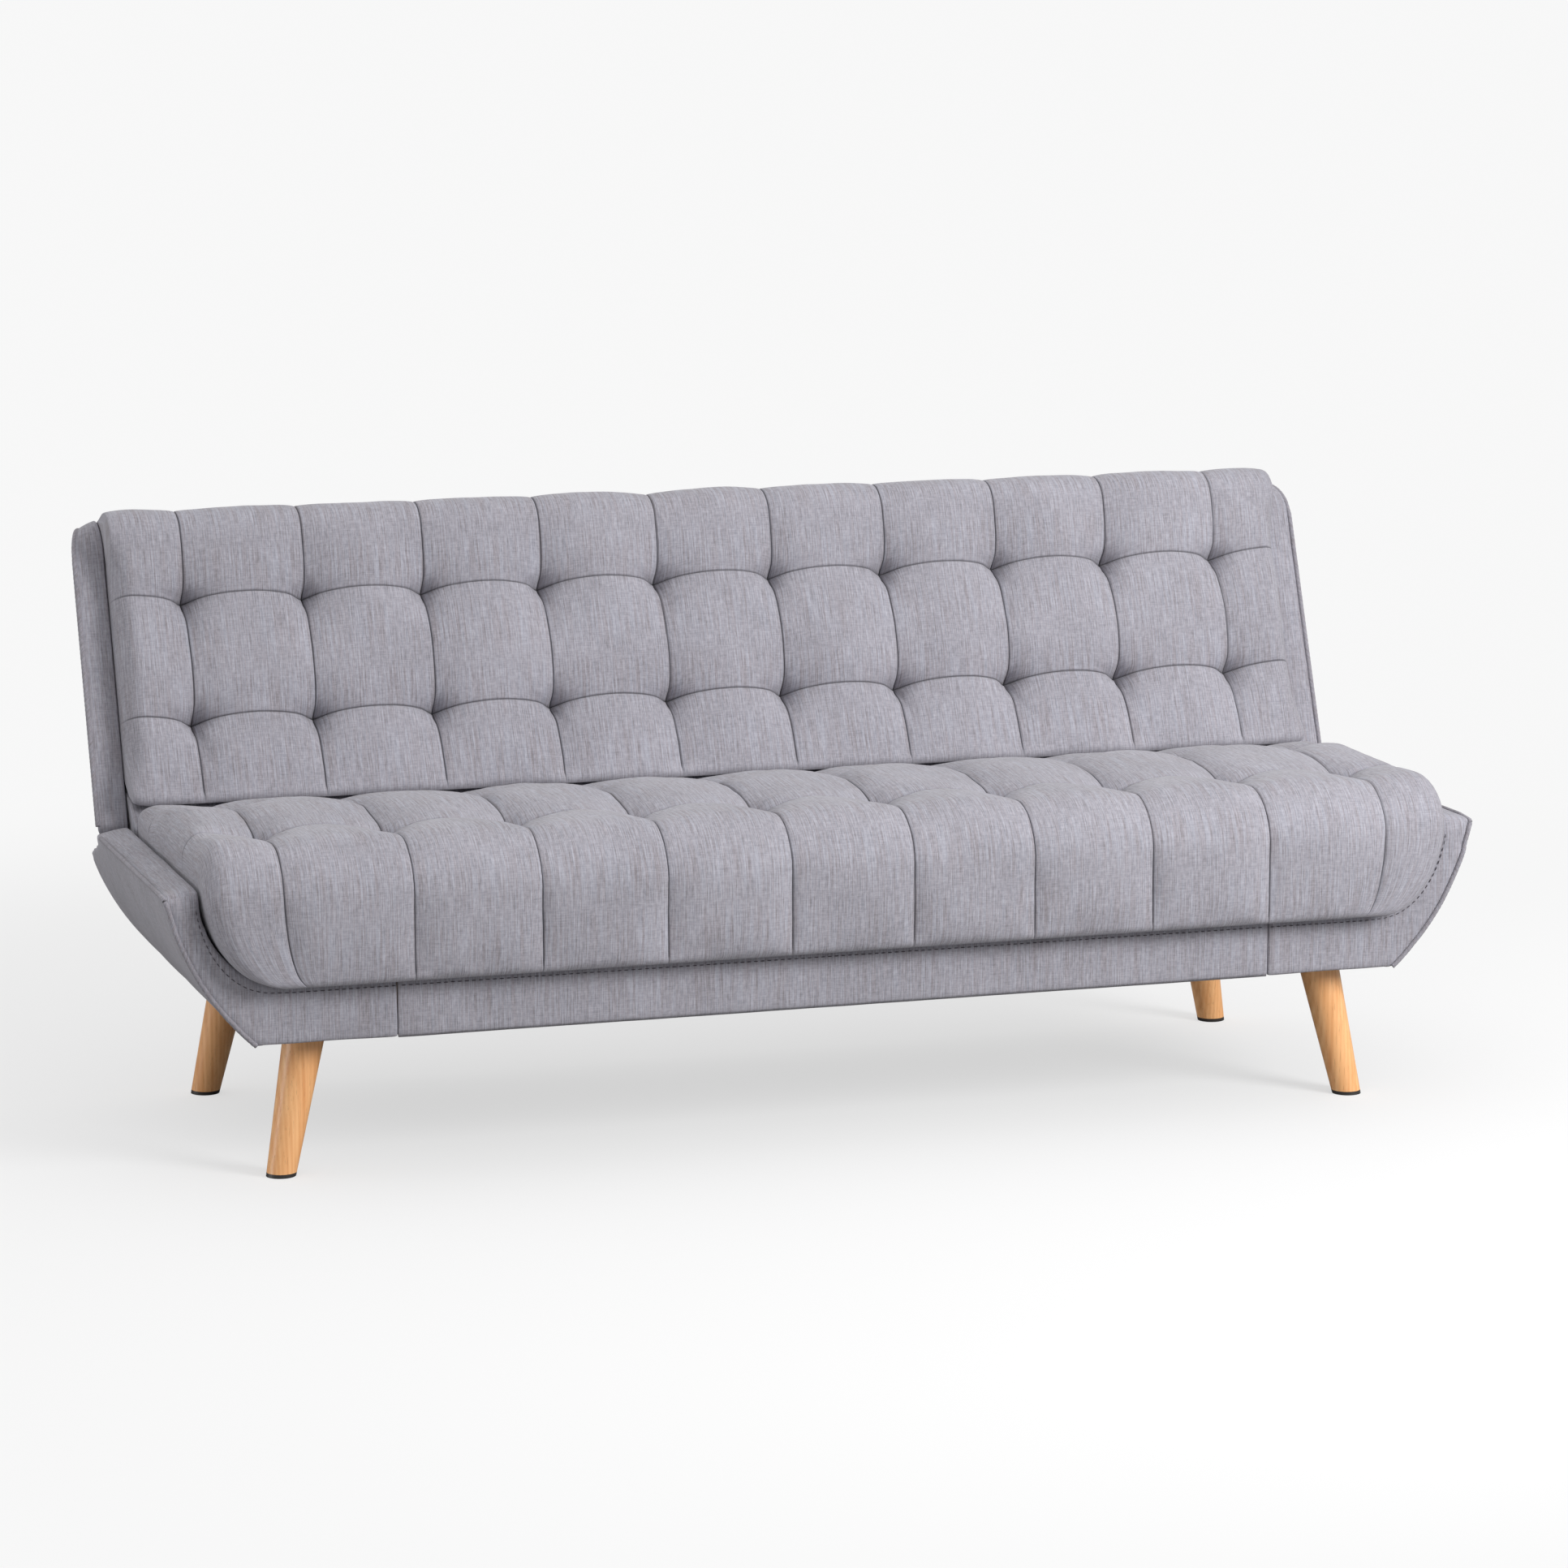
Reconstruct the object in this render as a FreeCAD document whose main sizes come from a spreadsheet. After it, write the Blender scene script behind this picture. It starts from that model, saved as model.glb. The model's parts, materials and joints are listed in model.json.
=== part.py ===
# Click-clack sofa bed: a tufted seat on four splayed legs and a tufted backrest that lies down flat.
# The frame: millimetres, +Z up, the front faces -Y, +X to the right seen from the front, and the
# origin on the floor under the middle of the whole sofa. Left is the -X side.
import FreeCAD, Part
import math
import os
import re

from FreeCAD import Placement, Rotation, Vector

os.makedirs("parts", exist_ok=True)
doc = FreeCAD.newDocument("sofa_bed")

# ---------------------------------------------------------------- driving sizes
SIZES = [
    # the whole sofa, backrest up
    ("overall_width", 1800),
    ("overall_depth", 768),
    ("base_height", 182),
    ("seat_height", 445),
    ("lean", 21),
    ("lift", 6),
    # the base: fabric band, timber rails and boards
    ("band_setback", 41),
    ("band_thickness", 6),
    ("band_half_width", 597),
    ("rail_thickness", 25),
    ("rail_height", 65),
    ("rail_lift", 5),
    ("end_rail_inset", 129),
    ("cross_rail_place", 250),
    ("cross_rail_height", 53),
    ("block_size", 80),
    ("cover_thickness", 2),
    # the seat cushion and its foam
    ("cushion_base", 79),
    ("cushion_shoulder", 389),
    ("end_flare", 99),
    ("front_roll", 75),
    ("bottom_roll", 20),
    ("side_roll", 45),
    ("rear_roll", 15),
    ("rear_drop", 24),
    ("drop_start", 146),
    ("wadding", 14),
    ("soft_gap", 1),
    ("foam_gap", 0.2),
    # the flared ends of the seat
    ("wing_strip", 50),
    ("wing_tip_height", 380),
    ("wing_foot_inset", 118),
    ("wing_bulge", 18),
    ("wing_wall_inset", 128),
    ("piping_radius", 3),
    # the pivot and the path of the backrest
    ("pivot_height", 300),
    ("pivot_radius", 6),
    ("running_gap", 0.05),
    ("swing_gap", 1.5),
    ("seat_roll_gap", 6),
    # the backrest, measured from the pivot: along it, and square to its face
    ("back_span", 478),
    ("back_overtop", 14),
    ("top_margin", 4),
    ("back_foot", 45),
    ("face_depth", 138),
    ("strip_depth", 82),
    ("rear_depth", 12),
    ("panel_thickness", 7.5),
    ("core_foot", 70),
    ("corner_roll", 25),
    ("top_roll", 50),
    ("border_roll", 55),
    ("back_edge_inset", 7),
    ("back_flare", 36),
    ("back_side_roll", 40),
    ("cushion_back_depth", 58),
    ("back_rail_depth", 48),
    ("rail_back_gap", 2),
    ("back_rail_foot", 140),
    ("mid_stile_place", 250),
    # click-clack hinge plates
    ("plate_thickness", 4),
    ("hinge_slot", 22),
    ("slot_margin", 5),
    ("washer_thickness", 2),
    ("washer_slack", 0.1),
    ("seat_plate_radius", 30),
    ("seat_plate_front", 70),
    ("seat_plate_rear", 20),
    ("seat_plate_drop", 96),
    ("seat_plate_neck", 5),
    ("pin_head", 4),
    ("pin_head_radius", 11),
    ("washer_radius", 14),
    ("arm_width", 40),
    ("arm_length", 330),
    ("arm_head_radius", 34),
    ("quadrant_radius", 50),
    ("tooth_depth", 6),
    ("tooth_width", 6),
    ("tooth_gap", 0.75),
    ("pawl_arm", 40),
    ("pawl_width", 8),
    ("pawl_swing", 12),
    ("pawl_angle", 200),
    ("pawl_pin_radius", 4),
    ("pocket_drop", 104),
    ("slot_drop", 4),
    ("lounge_angle", 34.5),
    ("bolt_radius", 4),
    ("bolt_head", 3),
    ("bolt_head_radius", 7),
    # springs
    ("wire_radius", 1.8),
    ("wire_gap", 0.3),
    ("spring_reach", 26),
    ("spring_bend", 16),
    ("seat_spring_count", 9),
    ("back_spring_count", 9),
    ("felt_thickness", 3),
    # legs
    ("leg_foot_radius", 19),
    ("leg_top_radius", 27),
    ("leg_inset_side", 40),
    ("leg_inset_end", 54),
    ("leg_splay_side", 38),
    ("leg_splay_end", 19),
    ("foot_pad_height", 5),
    ("leg_plate_size", 74),
    ("leg_plate_thickness", 4),
    ("hanger_radius", 5),
    ("hanger_half_length", 32),
    ("screw_radius", 2.5),
    ("screw_length", 22),
    ("screw_inset", 10),
]

sheet = doc.addObject("Spreadsheet::Sheet", "Sizes")
for row, (alias, amount) in enumerate(SIZES, start=1):
    sheet.set(f"A{row}", alias.replace("_", " "))
    sheet.set(f"B{row}", str(amount))
    sheet.setAlias(f"B{row}", alias)
doc.recompute()

# ---------------------------------------------------------------- sizes that follow
RULES = [
    ("half_width", "overall_width / 2"),
    ("tip_half_width", "half_width - piping_radius"),
    ("flat_angle", "90 - lean"),
    ("pivot_y", "overall_depth / 2 - back_span * sin(lean) - rear_depth * cos(lean)"),
    ("nose_radius", "back_foot - swing_gap"),
    ("base_front", "band_setback - overall_depth / 2"),
    ("base_rear", "pivot_y + nose_radius"),
    ("rail_bottom", "base_height + rail_lift"),
    ("rail_top", "rail_bottom + rail_height"),
    ("cushion_bottom", "base_height + cushion_base"),
    ("band_top", "cushion_bottom - soft_gap"),
    ("front_rail_face", "base_front + band_thickness"),
    ("front_rail_back", "front_rail_face + rail_thickness"),
    ("rear_rail_back", "base_rear - panel_thickness"),
    ("rear_rail_face", "rear_rail_back - rail_thickness"),
    ("end_rail_out", "half_width - end_rail_inset"),
    ("end_rail_in", "end_rail_out - rail_thickness"),
    ("cushion_half_width", "half_width - wing_strip - soft_gap"),
    ("cushion_foot", "cushion_half_width - end_flare"),
    ("wing_foot", "half_width - wing_foot_inset"),
    ("scoop_radius", "sqrt(pow(core_foot; 2) + pow(face_depth - corner_roll; 2))"),
    ("arm_in", "end_rail_out + plate_thickness + washer_thickness"),
    ("arm_out", "arm_in + plate_thickness"),
    ("slot_in", "end_rail_out - slot_margin"),
    ("slot_out", "slot_in + hinge_slot"),
    ("back_half_width", "half_width - back_edge_inset"),
    ("border_inner", "cushion_half_width + swing_gap"),
    ("back_cushion_half", "cushion_half_width - 2 * soft_gap"),
    ("frame_top", "back_span - top_margin"),
    ("back_top", "back_span + back_overtop"),
    ("rail_front_depth", "rail_back_gap + back_rail_depth"),
    ("finger_radius", "quadrant_radius + swing_gap + pawl_width / 2"),
]

fits = doc.addObject("App::VarSet", "Fits")
ALIASES = {alias for alias, amount in SIZES}
DERIVED = {name for name, rule in RULES}


def formula(rule):
    """Spell a rule out for the document: each word becomes a cell or a derived value."""
    def spell(match):
        word = match.group(0)
        if word in ALIASES:
            return "Sizes." + word
        if word in DERIVED:
            return "Fits." + word
        return word
    return re.sub(r"[a-z_]+", spell, str(rule))


for name, rule in RULES:
    fits.addProperty("App::PropertyFloat", name, "Fits")
    fits.setExpression(name, formula(rule))
doc.recompute()


class Dimensions:
    """The numbers of the sheet and of the derived values, by name."""


dim = Dimensions()
for alias in ALIASES:
    setattr(dim, alias, float(sheet.get(alias)))
for name in DERIVED:
    setattr(dim, name, getattr(fits, name))

# ---------------------------------------------------------------- helpers
NODES = []

# Where a piece's own axes lie. "back" leans with the backrest: its z runs up the backrest from
# the pivot and its y runs square to the face, towards the rear.
FRAMES = {
    "floor": ("{y}", "{z}"),
    "pivot": ("pivot_y + ({y})", "pivot_height + ({z})"),
    "back": ("pivot_y + ({y}) * cos(lean) + ({z}) * sin(lean)",
             "pivot_height - ({y}) * sin(lean) + ({z}) * cos(lean)"),
}
ALONG_X = Rotation(Vector(0, 1, 0), 90)


def place(piece, frame, x="0", y="0", z="0", spin=None):
    """Bind a piece's place in one of the frames; spin is a fixed turn of its own."""
    rule_y, rule_z = FRAMES[frame]
    leaning = frame == "back" and spin is None
    piece.Placement = Placement(Vector(), spin or Rotation(Vector(-1, 0, 0), 1 if leaning else 0))
    piece.setExpression("Placement.Base.x", formula(x))
    piece.setExpression("Placement.Base.y", formula(rule_y.format(y=y, z=z)))
    piece.setExpression("Placement.Base.z", formula(rule_z.format(y=y, z=z)))
    if leaning:
        piece.setExpression("Placement.Rotation.Angle", formula("lean"))
    return piece


def node(piece, label):
    """Give a finished piece its name."""
    piece.Label = label
    NODES.append(piece)
    return piece


def box(name, x, y, z, frame="floor"):
    """A block between two corners, each of x, y and z a pair of rules."""
    block = doc.addObject("Part::Box", name)
    for side, (low, high) in zip(("Length", "Width", "Height"), (x, y, z)):
        block.setExpression(side, formula(f"({high}) - ({low})"))
    return place(block, frame, x[0], y[0], z[0])


def pin(name, x, y, z, radius, frame="floor"):
    """A round bar along X, from x[0] to x[1]."""
    bar = doc.addObject("Part::Cylinder", name)
    bar.setExpression("Radius", formula(radius))
    bar.setExpression("Height", formula(f"({x[1]}) - ({x[0]})"))
    return place(bar, frame, x[0], y, z, spin=ALONG_X)


def post(name, x, y, z, radius):
    """An upright round bar, from z[0] to z[1]."""
    bar = doc.addObject("Part::Cylinder", name)
    bar.setExpression("Radius", formula(radius))
    bar.setExpression("Height", formula(f"({z[1]}) - ({z[0]})"))
    return place(bar, "floor", x, y, z[0])


def fuse(name, pieces):
    joined = doc.addObject("Part::MultiFuse", name)
    joined.Shapes = pieces
    return joined


def cut(name, base, tools):
    """A piece with every tool taken out of it."""
    tool = tools[0] if len(tools) == 1 else fuse(name + "_tools", tools)
    result = doc.addObject("Part::Cut", name)
    result.Base = base
    result.Tool = tool
    return result


def group(name, pieces):
    """Identical pieces that share one name and stay separate solids."""
    gathered = doc.addObject("Part::Compound", name)
    gathered.Links = pieces
    return gathered


def solid(name, shape, frame="floor"):
    """A piece whose outline no primitive fits."""
    feature = doc.addObject("Part::Feature", name)
    feature.Shape = shape
    return place(feature, frame)


def mirrored(shape):
    return shape.mirror(Vector(), Vector(1, 0, 0))


def pair(x):
    """Both sides of the sofa: the side's name, and the x rules as they run on that side."""
    low, high = x
    return (("left", (f"-({high})", f"-({low})")), ("right", (low, high)))


def point(plane, a, b, c):
    return {"yz": Vector(c, a, b), "xz": Vector(a, c, b), "xy": Vector(a, b, c)}[plane]


SAME_POINT = 1e-6


def outline(plane, corners, c):
    """A closed outline of corners (a, b, radius); an edge bends through a ("bow", a, b) point."""
    spots = [spot for spot in corners if spot[0] != "bow"]
    bows = {}
    for i, spot in enumerate(corners):
        if spot[0] == "bow":
            bows[len([s for s in corners[:i] if s[0] != "bow"]) - 1] = spot[1:]
    starts, ends, arcs = [], [], []
    for i, (a, b, radius) in enumerate(spots):
        here = Vector(a, b, 0)
        before = (Vector(*spots[i - 1][:2], 0) - here).normalize()
        after = (Vector(*spots[(i + 1) % len(spots)][:2], 0) - here).normalize()
        half = before.getAngle(after) / 2
        reach = radius / math.tan(half) if radius else 0
        ends.append(here + before * reach)
        starts.append(here + after * reach)
        inward = (before + after).normalize()
        arcs.append(here + inward * (radius / math.sin(half) - radius) if radius else None)
    edges = []
    for i in range(len(spots)):
        if arcs[i]:
            bend = [point(plane, p.x, p.y, c) for p in (ends[i], arcs[i], starts[i])]
            edges.append(Part.Arc(*bend).toShape())
        first, last = starts[i], ends[(i + 1) % len(spots)]
        if i in bows:
            bend = [point(plane, p.x, p.y, c) for p in (first, Vector(*bows[i], 0), last)]
            edges.append(Part.Arc(*bend).toShape())
        elif (last - first).Length > SAME_POINT:
            edges.append(Part.makeLine(*(point(plane, p.x, p.y, c) for p in (first, last))))
    return Part.Face(Part.Wire(edges))


def prism(plane, corners, low, high):
    """An outline in one plane, drawn out square to it."""
    away = {"yz": Vector(1, 0, 0), "xz": Vector(0, 1, 0), "xy": Vector(0, 0, 1)}[plane]
    return outline(plane, corners, low).extrude(away * (high - low))


def polar(centre, radius, degrees):
    angle = math.radians(degrees)
    return (centre[0] + radius * math.cos(angle), centre[1] + radius * math.sin(angle))


def block_between(x, y, z):
    return Part.makeBox(x[1] - x[0], y[1] - y[0], z[1] - z[0], Vector(x[0], y[0], z[0]))


PIVOT = (dim.pivot_y, dim.pivot_height)
LIFTED = dim.flat_angle + dim.lift      # the backrest's angle above the floor when lifted to unlock

# ---------------------------------------------------------------- seat base: timber frame
END_RAILS = ("end_rail_in", "end_rail_out")
BETWEEN_RAILS = ("front_rail_back", "rear_rail_face")
RAIL_Z = ("rail_bottom", "rail_top")
BLOCK_Z = ("rail_bottom", "rail_bottom + cross_rail_height")
FULL_FRAME = ("-end_rail_out", "end_rail_out")

node(box("SeatFrontRail", FULL_FRAME, ("front_rail_face", "front_rail_back"), RAIL_Z), "seat_front_rail")
node(box("SeatRearRail", FULL_FRAME, ("rear_rail_face", "rear_rail_back"), RAIL_Z), "seat_rear_rail")

BOLT_SPOTS = ("-60", "-25", "4")     # along the end rail, from the pivot
BOLT_DROP = "-75"
SUNK_HEAD_X = ("end_rail_in", "end_rail_in + bolt_head")
for side, x in pair(END_RAILS):
    rail = box(f"EndRail_{side}", x, BETWEEN_RAILS, RAIL_Z)
    sunk_x = dict(pair(SUNK_HEAD_X))[side]
    holes = [pin(f"EndRailHole_{side}_{i}", x, y, BOLT_DROP, "bolt_radius + running_gap", "pivot")
             for i, y in enumerate(BOLT_SPOTS)]
    holes += [pin(f"EndRailSink_{side}_{i}", sunk_x, y, BOLT_DROP, "bolt_head_radius + running_gap", "pivot")
              for i, y in enumerate(BOLT_SPOTS)]
    node(cut(f"EndRailDrilled_{side}", rail, holes), f"{side}_seat_end_rail")

cross_rails = []
for side, x in pair(("cross_rail_place - rail_thickness / 2", "cross_rail_place + rail_thickness / 2")):
    cross_rails.append(box(f"CrossRail_{side}", x, BETWEEN_RAILS, BLOCK_Z))
node(group("CrossRails", cross_rails), "seat_cross_rails")

# ---------------------------------------------------------------- legs, plates, blocks and their fasteners
BLOCK_X = ("end_rail_in - block_size", "end_rail_in")
PLATE_Z = ("rail_bottom - leg_plate_thickness", "rail_bottom")
SCREW_Z = ("rail_bottom - leg_plate_thickness", "rail_bottom + screw_length")
NOTCH_Z = ("base_height - soft_gap", "rail_bottom + soft_gap")
ENDS = {
    "front": {"foot": "base_front + leg_inset_end", "top": "base_front + leg_inset_end + leg_splay_end",
              "block": ("front_rail_back", "front_rail_back + block_size"), "way": -1},
    "rear": {"foot": "base_rear - leg_inset_end", "top": "base_rear - leg_inset_end - leg_splay_end",
             "block": ("rear_rail_face - block_size", "rear_rail_face"), "way": 1},
}
SIDES = {"left": -1, "right": 1}
LEG_TOP_Z = dim.rail_bottom - dim.leg_plate_thickness
LEG_LENGTH = math.sqrt(LEG_TOP_Z ** 2 + dim.leg_splay_side ** 2 + dim.leg_splay_end ** 2)
OVERRUN = 14            # how far a leg's cone runs past each end before the level cuts
SLAB_HALF = 120         # half a side of the level slabs, wider than any leg

blocks, plates, screws, hangers, cover_notches = [], [], [], [], []
for end, place_y in ENDS.items():
    for side, sign in SIDES.items():
        tag = f"{end}_{side}"
        foot_x = f"{sign} * (wing_foot - leg_inset_side)"
        top_x = f"{sign} * (wing_foot - leg_inset_side - leg_splay_side)"
        axis = Vector(-sign * dim.leg_splay_side, -place_y["way"] * dim.leg_splay_end, LEG_TOP_Z).normalize()
        tilt = Rotation(Vector(0, 0, 1), axis)
        # the leg's cone runs past both ends, and level cuts finish it
        cone = doc.addObject("Part::Cone", f"LegCone_{tag}")
        growth = f"(leg_top_radius - leg_foot_radius) / {LEG_LENGTH} * {OVERRUN}"
        cone.setExpression("Radius1", formula(f"leg_foot_radius - {growth}"))
        cone.setExpression("Radius2", formula(f"leg_top_radius + {growth}"))
        cone.Height = LEG_LENGTH + 2 * OVERRUN
        place(cone, "floor", f"{foot_x} - {axis.x * OVERRUN}", f"{place_y['foot']} - {axis.y * OVERRUN}",
              f"-{axis.z * OVERRUN}", spin=tilt)
        hanger = doc.addObject("Part::Cylinder", f"Hanger_{tag}")
        hanger.setExpression("Radius", formula("hanger_radius"))
        hanger.setExpression("Height", formula("2 * hanger_half_length"))
        place(hanger, "floor", f"{top_x} - {axis.x} * hanger_half_length",
              f"{place_y['top']} - {axis.y} * hanger_half_length",
              f"rail_bottom - leg_plate_thickness - {axis.z} * hanger_half_length", spin=tilt)
        hangers.append(hanger)
        around = (f"{foot_x} - {SLAB_HALF}", f"{foot_x} + {SLAB_HALF}")
        beside = (f"{place_y['foot']} - {SLAB_HALF}", f"{place_y['foot']} + {SLAB_HALF}")
        for what, z in (("leg", ("foot_pad_height", "rail_bottom - leg_plate_thickness")),
                        ("foot_pad", ("0", "foot_pad_height"))):
            slab = box(f"Slab_{what}_{tag}", around, beside, z)
            part = doc.addObject("Part::Common", f"Level_{what}_{tag}")
            part.Base = cone
            part.Tool = slab
            if what == "leg":
                part = cut(f"Drilled_{what}_{tag}", part, [hanger])
            node(part, f"{end}_{side}_{what}")
        block_x = BLOCK_X if sign > 0 else (f"-({BLOCK_X[1]})", f"-({BLOCK_X[0]})")
        block = box(f"Block_{tag}", block_x, place_y["block"], BLOCK_Z)
        top_y = place_y["top"]
        plate_x = (f"{top_x} - leg_plate_size / 2", f"{top_x} + leg_plate_size / 2")
        plate_y = (f"{top_y} - leg_plate_size / 2", f"{top_y} + leg_plate_size / 2")
        plate = box(f"LegPlate_{tag}", plate_x, plate_y, PLATE_Z)
        corner_screws = []
        for i, (dx, dy) in enumerate(((-1, -1), (-1, 1), (1, -1), (1, 1))):
            reach = "(leg_plate_size / 2 - screw_inset)"
            corner_screws.append(post(f"Screw_{tag}_{i}", f"{top_x} + {dx} * {reach}",
                                      f"{top_y} + {dy} * {reach}", SCREW_Z, "screw_radius"))
        screws += corner_screws
        plates.append(cut(f"LegPlateDrilled_{tag}", plate, corner_screws + [hanger]))
        blocks.append(cut(f"BlockDrilled_{tag}", block, corner_screws + [hanger]))
        notch_x, notch_y = ((f"{low} - soft_gap", f"{high} + soft_gap") for low, high in (plate_x, plate_y))
        cover_notches.append(box(f"Notch_{tag}", notch_x, notch_y, NOTCH_Z))
node(group("Blocks", blocks), "corner_blocks")
node(group("LegPlates", plates), "leg_plates")
node(group("Screws", screws), "leg_plate_screws")
node(group("Hangers", hangers), "hanger_bolts")

cover = box("DustCover", FULL_FRAME, ("front_rail_face", "rear_rail_back"),
            ("rail_bottom - cover_thickness", "rail_bottom"))
node(cut("DustCoverNotched", cover, cover_notches), "dust_cover")
node(box("FrontBand", ("-band_half_width", "band_half_width"), ("base_front", "front_rail_face"),
         ("base_height", "band_top")), "front_band")

# ---------------------------------------------------------------- seat: springs, felt, foam and cushion


def zigzag(length, reach, bend, wire):
    """A sinuous spring in the XY plane that runs along +Y from the origin."""
    rows = int((length - 2 * wire) // (2 * bend))
    step = 2 * bend
    start = (length - rows * step) / 2
    edges = []
    way = 1
    for row in range(rows + 1):
        y = start + row * step
        edges.append(Part.makeLine(Vector(-way * reach, y, 0), Vector(way * reach, y, 0)))
        if row < rows:
            edges.append(Part.Arc(Vector(way * reach, y, 0), Vector(way * (reach + bend), y + bend, 0),
                                  Vector(way * reach, y + step, 0)).toShape())
        way = -way
    ring = Part.Wire(Part.makeCircle(wire, Vector(-reach, start, 0), Vector(1, 0, 0)))
    return Part.Wire(edges).makePipeShell([ring], True, False)


def spring_row(count, half_span, length, lift):
    """Equal springs side by side, at one height."""
    spring = zigzag(length, dim.spring_reach, dim.spring_bend, dim.wire_radius)
    pitch = 2 * half_span / (count - 1)
    return [spring.translated(Vector(i * pitch - half_span, 0, lift)) for i in range(int(count))]


SPRING_INSET = 20
SPRING_HALF_SPAN = dim.end_rail_in - 2 * dim.spring_reach - dim.spring_bend - SPRING_INSET
seat_run = dim.rear_rail_back - dim.front_rail_face
seat_springs = [spring.translated(Vector(0, dim.front_rail_face, 0))
                for spring in spring_row(dim.seat_spring_count, SPRING_HALF_SPAN, seat_run,
                                         dim.rail_top + dim.wire_gap + dim.wire_radius)]
node(solid("SeatSprings", Part.makeCompound(seat_springs)), "seat_springs")

SPRING_DEPTH = "2 * wire_gap + 2 * wire_radius"
SEAT_FELT_Z = (f"rail_top + {SPRING_DEPTH}", f"rail_top + {SPRING_DEPTH} + felt_thickness")
node(box("SeatFelt", ("-end_rail_in", "end_rail_in"), ("front_rail_face", "pivot_y"), SEAT_FELT_Z), "seat_felt")

lifted_corner = (PIVOT[0] + dim.core_foot * math.cos(math.radians(LIFTED))
                 + dim.corner_roll * math.cos(math.radians(LIFTED))
                 - (dim.face_depth - dim.corner_roll) * math.sin(math.radians(LIFTED)))
SEAT_ROLL_Y = lifted_corner - dim.corner_roll - dim.seat_roll_gap
BARREL_RADIUS = dim.scoop_radius - 2 * dim.swing_gap
SPARE_ANGLE = 2.5       # how much further round the trough goes than the backrest's lower edge
VALLEY_SLOPE = 32
corner_angle = math.degrees(math.atan2(dim.face_depth - dim.corner_roll, dim.core_foot))
VALLEY_ANGLE = LIFTED + corner_angle + SPARE_ANGLE
BARREL_END = LIFTED + SPARE_ANGLE
BARREL_FOOT = 0.7       # how far in from the nose the barrel's rear comes down, as a share of its radius
valley = polar(PIVOT, BARREL_RADIUS, VALLEY_ANGLE)
barrel_mid = polar(PIVOT, BARREL_RADIUS, (VALLEY_ANGLE + BARREL_END) / 2)
barrel_end = polar(PIVOT, BARREL_RADIUS, BARREL_END)
barrel_foot = polar(PIVOT, dim.nose_radius * BARREL_FOOT, BARREL_END)
valley_rise = (valley[0] - SEAT_ROLL_Y) * math.tan(math.radians(VALLEY_SLOPE))
seat_front = -dim.overall_depth / 2
seat_section = [
    (seat_front, dim.cushion_bottom, dim.bottom_roll),
    (seat_front, dim.seat_height, dim.front_roll),
    (SEAT_ROLL_Y - dim.drop_start, dim.seat_height, dim.drop_start),
    (SEAT_ROLL_Y, dim.seat_height - dim.rear_drop, dim.rear_roll),
    (SEAT_ROLL_Y, valley[1] + valley_rise, 0),
    (valley[0], valley[1], 0),
    ("bow", *barrel_mid),
    (barrel_end[0], barrel_end[1], 0),
    (barrel_foot[0], barrel_foot[1], 0),
    (barrel_foot[0], dim.cushion_bottom, 0),
]


def cushion_end(gap, top, top_roll):
    """Half of the cushion's cross outline: it flares from its foot to its shoulder."""
    diagonal = math.sqrt(0.5)
    foot = dim.cushion_foot
    rise = dim.cushion_shoulder - dim.cushion_bottom
    return [
        (0, dim.cushion_bottom - gap, 0),
        (foot, dim.cushion_bottom - gap, 0),
        ("bow", foot + dim.end_flare * diagonal + gap * diagonal,
         dim.cushion_shoulder - rise * diagonal - gap * diagonal),
        (foot + dim.end_flare + gap, dim.cushion_shoulder, 0),
        (foot + dim.end_flare + gap, top, top_roll),
        (0, top, 0),
    ]


def both_sides(half):
    return half.fuse(mirrored(half)).removeSplitter()


across = both_sides(prism("xz", cushion_end(0, dim.seat_height, dim.side_roll),
                          -dim.overall_depth, dim.overall_depth))
seat_block = prism("yz", seat_section, -dim.half_width, dim.half_width).common(across)
slot_front = SEAT_ROLL_Y + dim.seat_roll_gap
for sign in (-1, 1):
    slot_x = sorted((sign * dim.slot_in, sign * dim.slot_out))
    slot = block_between(slot_x, (slot_front, dim.overall_depth), (0, 2 * dim.seat_height))
    seat_block = seat_block.cut(slot)


def seat_foam(gap):
    """The seat's foam, or with a gap the room for it: a block that falls away to the rear."""
    half = dim.cushion_foot - dim.wadding + gap
    front, rear = seat_front + dim.wadding - gap, SEAT_ROLL_Y - dim.wadding + gap
    bottom = dim.cushion_bottom + dim.wadding - gap
    top = dim.seat_height - dim.wadding + gap
    section = [
        (front, bottom, 0),
        (front, top, dim.front_roll - dim.wadding),
        (SEAT_ROLL_Y - dim.drop_start, top, 0),
        (rear, top - dim.rear_drop, 0),
        (rear, bottom, 0),
    ]
    return prism("yz", section, -half, half)


node(solid("SeatFoam", seat_foam(0)), "seat_foam")
node(solid("SeatCushion", seat_block.cut(seat_foam(dim.foam_gap))), "seat_cushion")

# ---------------------------------------------------------------- seat: flared ends, piping and rear panel
chord = Vector(dim.tip_half_width - dim.wing_foot, 0, dim.wing_tip_height - dim.base_height)
bulge = Vector(chord.z, 0, -chord.x).normalize() * dim.wing_bulge
wing_mid = ((dim.wing_foot + dim.tip_half_width) / 2 + bulge.x,
            (dim.base_height + dim.wing_tip_height) / 2 + bulge.z)
wing_outline = [
    (dim.band_half_width, dim.base_height, 0),
    (dim.wing_foot, dim.base_height, 0),
    ("bow", *wing_mid),
    (dim.tip_half_width, dim.wing_tip_height, 0),
    (dim.cushion_half_width + dim.soft_gap, dim.cushion_shoulder, 0),
    (dim.band_half_width, dim.cushion_shoulder, 0),
]
slope_start = polar(PIVOT, dim.nose_radius, LIFTED)
slope = math.radians(LIFTED + 90)
slope_run = dim.strip_depth + dim.slot_drop
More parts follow.
